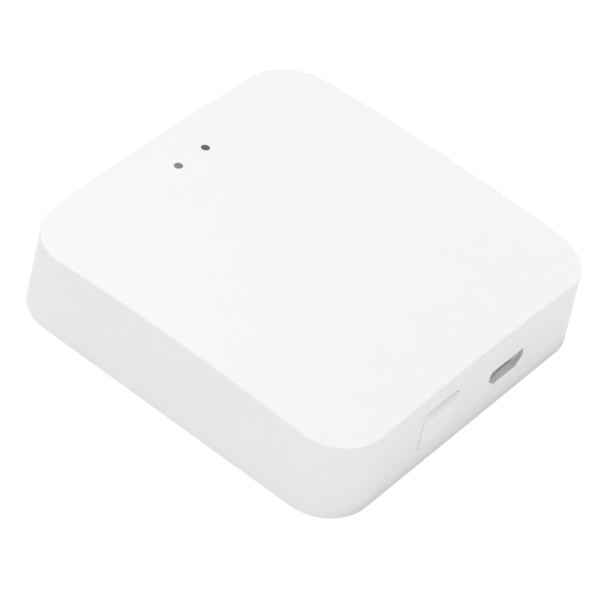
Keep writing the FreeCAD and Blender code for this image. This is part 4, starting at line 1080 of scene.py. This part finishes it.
# %% Power inductor
WIRE, COIL_RADIUS, WAIST_RADIUS = 0.17 * MM, 1.45 * MM, 1.2 * MM
FLANGE, FLANGE_LIFT, FLANGE_ROUND = 0.5 * MM, 0.1 * MM, 0.12 * MM
COIL_PAD_OUTER, COIL_PAD_INNER, COIL_PAD_HALF = 2.1 * MM, 1.2 * MM, 1.5 * MM
COIL_PAD_HEIGHT, COIL_PAD_ROUND = 0.14 * MM, 0.04 * MM
COIL_STEPS = 32
low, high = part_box("power_inductor")
centre = (low + high) / 2
bm = bmesh.new()
for flange_low, flange_high in ((low.z + FLANGE_LIFT, low.z + FLANGE), (high.z - FLANGE, high.z)):
    add_block(bm, (low.x, low.y, flange_low), (high.x, high.y, flange_high), FLANGE_ROUND, 3)
add_rod(bm, (centre.x, centre.y, low.z + 2 * FLANGE_LIFT), (centre.x, centre.y, high.z - 2 * FLANGE_LIFT),
        WAIST_RADIUS, 40)
turns = int((high.z - low.z - 2 * FLANGE) / (2 * WIRE))
start = Matrix.Translation((centre.x + COIL_RADIUS, centre.y, low.z + FLANGE + WIRE))
upright = Matrix.Rotation(math.radians(90), 4, "X")
ring = bmesh.ops.create_circle(bm, cap_ends=True, segments=8, radius=WIRE, matrix=start @ upright)["verts"]
ring_faces = {face for vert in ring for face in vert.link_faces}
coil = list(ring) + list({edge for vert in ring for edge in vert.link_edges}) + list(ring_faces)
before = set(bm.faces) - ring_faces
bmesh.ops.spin(bm, geom=coil, cent=centre, axis=(0, 0, 1), angle=2 * math.pi * turns,
               steps=COIL_STEPS * turns, dvec=(0, 0, 2 * WIRE / COIL_STEPS), use_merge=False)
mark_new(bm, before, 1)
for side in (-1, 1):
    add_block(bm, (centre.x + side * COIL_PAD_INNER, centre.y - COIL_PAD_HALF, low.z),
              (centre.x + side * COIL_PAD_OUTER, centre.y + COIL_PAD_HALF, low.z + COIL_PAD_HEIGHT),
              COIL_PAD_ROUND, finish=2)
finish_piece(bm, "wound_inductor", ["ferrite_grey", "copper_wire", "solder"], "housing", ["power_inductor"],
             angle=40)

# %% [markdown]
# ## The radio modules' shields
#
# A radio chip sits under a thin tin-plated lid that keeps its signals in. The lid is deep drawn from sheet:
# its edges are round, and small holes in its top let the solder's gases out. A box is cut into a grid of
# small faces with planes, a face is inset where a hole belongs, and the four corners of the inset are
# bevelled until it is nearly round: three vertices take the place of each corner, so it has twelve sides.
# Without that face, Solidify turns the skin into a lid of real sheet.

# %% Shield lids
LID_SHEET = 0.15 * MM
LID_CORNER = 0.35 * MM
LID_MARGIN = 3 * MM
HOLE_PITCH = 1.5 * MM
HOLE_ROWS = 3
HOLE_INSET, HOLE_ROUNDING, HOLE_SIDES = 0.38, 0.13, 12


def cut_grid(bm, axis, middle, count, pitch):
    """Cut a mesh with parallel planes, half a pitch to each side of the hole centres."""
    for number in range(count + 1):
        at, across = Vector((0, 0, 0)), Vector((0, 0, 0))
        at[axis] = middle + (number - count / 2) * pitch
        across[axis] = 1
        bmesh.ops.bisect_plane(bm, geom=bm.verts[:] + bm.edges[:] + bm.faces[:], plane_co=at, plane_no=across)


bm = bmesh.new()
for node in ("network_shield_can", "mesh_shield_can"):
    low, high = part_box(node)
    lid = bmesh.new()
    bmesh.ops.create_cube(lid, size=1.0)
    bmesh.ops.scale(lid, vec=high - low, verts=lid.verts)
    bmesh.ops.translate(lid, vec=(low + high) / 2, verts=lid.verts)
    bottom = [face for face in lid.faces if face.normal.z < -0.5]
    bmesh.ops.delete(lid, geom=bottom, context="FACES_ONLY")
    round_off(lid, [edge for edge in lid.edges if not edge.is_boundary], LID_CORNER, 4)
    columns = int((high.x - low.x - LID_MARGIN) / HOLE_PITCH)
    cut_grid(lid, 0, (low.x + high.x) / 2, columns, HOLE_PITCH)
    cut_grid(lid, 1, (low.y + high.y) / 2, HOLE_ROWS, HOLE_PITCH)
    cells = [face for face in lid.faces if face.normal.z > 0.9
             and abs(face.calc_area() - HOLE_PITCH ** 2) < 0.02 * HOLE_PITCH ** 2]
    bmesh.ops.inset_individual(lid, faces=cells, thickness=HOLE_PITCH * HOLE_INSET)
    corners = list({vert for face in cells for vert in face.verts})
    round_off(lid, corners, HOLE_PITCH * HOLE_ROUNDING, 2, "VERTICES")
    holes = [face for face in lid.faces if len(face.verts) == HOLE_SIDES]
    bmesh.ops.delete(lid, geom=holes, context="FACES_ONLY")
    bmesh.ops.recalc_face_normals(lid, faces=lid.faces)
    bmesh.ops.solidify(lid, geom=lid.faces[:], thickness=LID_SHEET)
    part_mesh = bpy.data.meshes.new("lid_part")
    lid.to_mesh(part_mesh)
    lid.free()
    bm.from_mesh(part_mesh)
    print(node, len(cells), "cells,", len(holes), "holes")
finish_piece(bm, "pierced_shield_lids", ["shield_steel"], "housing",
             ["network_shield_can", "mesh_shield_can"], angle=30)

# %% [markdown]
# Under each lid the radio chip is a flat resin block without legs: its contacts are a row of small tinned
# pads along each side, half hidden below it. A glossy spot marks the first pad. The modules themselves are
# soldered to the main board along their edges, through half holes that hold a bead of solder each.

# %% Radio chips
CHIP_LIFT, CHIP_ROUND = 0.03 * MM, 0.03 * MM
PAD_PITCH, PAD_MARGIN = 0.5 * MM, 1.0 * MM
PAD_WIDTH, PAD_LENGTH, PAD_RISE = 0.25 * MM, 0.4 * MM, 0.12 * MM
SPOT_INSET, SPOT_RADIUS, SPOT_RISE = 0.7 * MM, 0.22 * MM, 0.004 * MM


def add_pad(bm, x, y, long_x, long_y, foot):
    """A flat tinned pad about a point of the chip's edge, with its underside at the foot's height."""
    add_block(bm, (x - long_x / 2, y - long_y / 2, foot), (x + long_x / 2, y + long_y / 2, foot + PAD_RISE),
              finish=1)


bm = bmesh.new()
for node in ("network_radio_chip", "mesh_radio_chip"):
    low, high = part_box(node)
    middle = (low + high) / 2
    add_block(bm, (low.x, low.y, low.z + CHIP_LIFT), high, CHIP_ROUND)
    mark = Vector((low.x + SPOT_INSET, low.y + SPOT_INSET, high.z))
    add_rod(bm, mark - Vector((0, 0, MARK_SUNK)), mark + Vector((0, 0, SPOT_RISE)), SPOT_RADIUS, 20, finish=2)
    count = int((high.x - low.x - PAD_MARGIN) / PAD_PITCH)
    for number in range(count):
        along = (number - (count - 1) / 2) * PAD_PITCH
        for corner in (low, high):
            add_pad(bm, corner.x, middle.y + along, PAD_LENGTH, PAD_WIDTH, low.z)
            add_pad(bm, middle.x + along, corner.y, PAD_WIDTH, PAD_LENGTH, low.z)
finish_piece(bm, "padded_radio_chips", ["chip_black", "solder", "glaze_black"], "housing",
             ["network_radio_chip", "mesh_radio_chip"])

# %% Solder beads along the modules
BEAD_PITCH, BEAD_START, BARE_LENGTH = 1.5 * MM, 1.5 * MM, 9 * MM
BEAD_RADIUS, BEAD_LIFT = 0.38 * MM, 0.1 * MM
tall_bead = Matrix.Diagonal((1.0, 1.0, 1.5, 1.0))
bm = bmesh.new()
for node in ("network_module_board", "mesh_module_board"):
    low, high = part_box(node)
    for number in range(int((high.y - low.y - BARE_LENGTH) / BEAD_PITCH)):
        for edge_x in (low.x, high.x):
            at = Matrix.Translation((edge_x, low.y + BEAD_START + number * BEAD_PITCH, low.z + BEAD_LIFT))
            bmesh.ops.create_icosphere(bm, subdivisions=2, radius=BEAD_RADIUS, matrix=at @ tall_bead)
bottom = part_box("network_module_board")[0].z
bmesh.ops.bisect_plane(bm, geom=bm.verts[:] + bm.edges[:] + bm.faces[:], plane_co=(0, 0, bottom),
                       plane_no=(0, 0, -1), clear_outer=True)
bmesh.ops.holes_fill(bm, edges=[edge for edge in bm.edges if edge.is_boundary])
finish_piece(bm, "module_solder_beads", ["solder"], "housing", angle=60)

# %% [markdown]
# ## The clock crystal and the status lights
#
# The crystal's case is a ceramic tray with a metal lid welded on. A status light is a white tray too, with a
# drop of clear resin over the light's own chip, and a tinned contact folded round each end.

# %% Clock crystal
TRAY_SHARE, LID_INSET, LID_SUNK = 0.6, 0.12 * MM, 0.02 * MM
CORNER_PAD, CORNER_PAD_HEIGHT = 0.45 * MM, 0.1 * MM
TRAY_ROUND, LID_ROUND, CORNER_PAD_ROUND = 0.05 * MM, 0.06 * MM, 0.04 * MM
low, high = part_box("clock_crystal")
tray_top = low.z + TRAY_SHARE * (high.z - low.z)
bm = bmesh.new()
add_block(bm, low, (high.x, high.y, tray_top), TRAY_ROUND)
add_block(bm, (low.x + LID_INSET, low.y + LID_INSET, tray_top - LID_SUNK),
          (high.x - LID_INSET, high.y - LID_INSET, high.z), LID_ROUND, 3, finish=1)
for x in (low.x, high.x):
    for y in (low.y, high.y):
        add_block(bm, (x - CORNER_PAD, y - CORNER_PAD, low.z),
                  (x + CORNER_PAD, y + CORNER_PAD, low.z + CORNER_PAD_HEIGHT), CORNER_PAD_ROUND, finish=2)
finish_piece(bm, "lidded_crystal", ["ceramic_white", "tinned_steel", "solder"], "housing", ["clock_crystal"])

# %% Status lights
CASE_SHARE, CASE_INSET, CASE_LIFT, CASE_ROUND = 0.75, 0.03 * MM, 0.02 * MM, 0.03 * MM
DOME = (0.55 * MM, 0.32 * MM)
DOME_SUNK = 0.02 * MM
FOLD_LENGTH, FOLD_OUT, FOLD_LOWER = 0.25 * MM, 0.02 * MM, 0.1 * MM
bm = bmesh.new()
for node in ("left_status_led", "right_status_led"):
    low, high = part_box(node)
    middle = (low + high) / 2
    top = low.z + CASE_SHARE * (high.z - low.z)
    add_block(bm, (low.x + CASE_INSET, low.y, low.z + CASE_LIFT), (high.x - CASE_INSET, high.y, top),
              CASE_ROUND)
    before = set(bm.faces)
    dome = Matrix.Translation((middle.x, middle.y, top - DOME_SUNK)) @ Matrix.Diagonal(
        (*DOME, high.z - top + DOME_SUNK, 1.0))
    bmesh.ops.create_uvsphere(bm, u_segments=24, v_segments=12, radius=1.0, matrix=dome)
    mark_new(bm, before, 1)
    for end, inward in ((low.x, 1), (high.x, -1)):
        add_block(bm, (end, low.y - FOLD_OUT, low.z),
                  (end + inward * FOLD_LENGTH, high.y + FOLD_OUT, top - FOLD_LOWER), CASE_ROUND, finish=2)
finish_piece(bm, "domed_status_lights", ["light_case", "light_resin", "tinned_steel"], "housing",
             ["left_status_led", "right_status_led"])

# %% [markdown]
# ## Screw threads
#
# The four screws cut their own thread into the shell's posts. The solid screws have plain shanks, so the
# thread is added as a helical rib: a small triangle, spun about the shank and lifted by one pitch a turn.

# %% Screw threads
THREAD_PITCH, THREAD_DEPTH, THREAD_SUNK = 0.55 * MM, 0.16 * MM, 0.04 * MM
THREAD_HALF = 0.18 * MM
THREAD_STEPS = 20
SHANK_RADIUS, SCREW_POINT, SCREW_HEAD = 1.0 * MM, 2.5 * MM, 0.9 * MM
bm = bmesh.new()
for low, high in boxes_in("board_screws"):
    centre = (low + high) / 2
    foot = low.z + SCREW_POINT
    turns = int((high.z - SCREW_HEAD - foot) / THREAD_PITCH)
    profile = [(SHANK_RADIUS - THREAD_SUNK, -THREAD_HALF), (SHANK_RADIUS + THREAD_DEPTH, 0),
               (SHANK_RADIUS - THREAD_SUNK, THREAD_HALF)]
    corners = [bm.verts.new((centre.x + out, centre.y, foot + lift)) for out, lift in profile]
    face = bm.faces.new(corners)
    bmesh.ops.spin(bm, geom=corners + list(face.edges) + [face], cent=centre, axis=(0, 0, 1),
                   angle=2 * math.pi * turns, steps=THREAD_STEPS * turns,
                   dvec=(0, 0, THREAD_PITCH / THREAD_STEPS), use_merge=False)
finish_piece(bm, "screw_threads", ["zinc_steel"], "housing", angle=40)

# %% [markdown]
# ## Rubber feet
#
# The feet are moulded rubber pads, pressed into round wells of the base cover. Rings on the sole grip the
# table, and the sole's rim is rounded, so the pad doesn't peel. A profile from the middle of the sole to the
# middle of the hidden back, spun once round, gives all of it.

# %% Feet
FOOT_RIM, RIM_ARCS = 0.28 * MM, 4
RING_DEPTH, RING_WIDTH = 0.10 * MM, 0.35 * MM
RINGS = (1.0 * MM, 1.9 * MM, 2.8 * MM)
for number in (1, 2, 3, 4):
    node = f"rubber_foot_{number}"
    low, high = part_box(node)
    radius = (high.x - low.x) / 2
    profile = [(0, RING_DEPTH)]
    for ring in RINGS:
        profile += [(ring - RING_DEPTH / 2, RING_DEPTH), (ring, 0), (ring + RING_WIDTH, 0),
                    (ring + RING_WIDTH + RING_DEPTH / 2, RING_DEPTH)]
    sole_edge = radius - FOOT_RIM
    profile += [(sole_edge - RING_WIDTH, RING_DEPTH), (sole_edge - RING_WIDTH + RING_DEPTH / 2, 0)]
    for arc in range(RIM_ARCS + 1):
        turn = math.radians(90) * arc / RIM_ARCS
        profile.append((sole_edge + FOOT_RIM * math.sin(turn), FOOT_RIM * (1 - math.cos(turn))))
    profile += [(radius, high.z - low.z), (0, high.z - low.z)]
    bm = bmesh.new()
    add_turned(bm, profile, ((low.x + high.x) / 2, (low.y + high.y) / 2, low.z), 64)
    finish_piece(bm, f"ringed_foot_{number}", ["foot_rubber"], "housing", [node], angle=50)

# %% Sizes, and the last line
low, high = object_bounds()
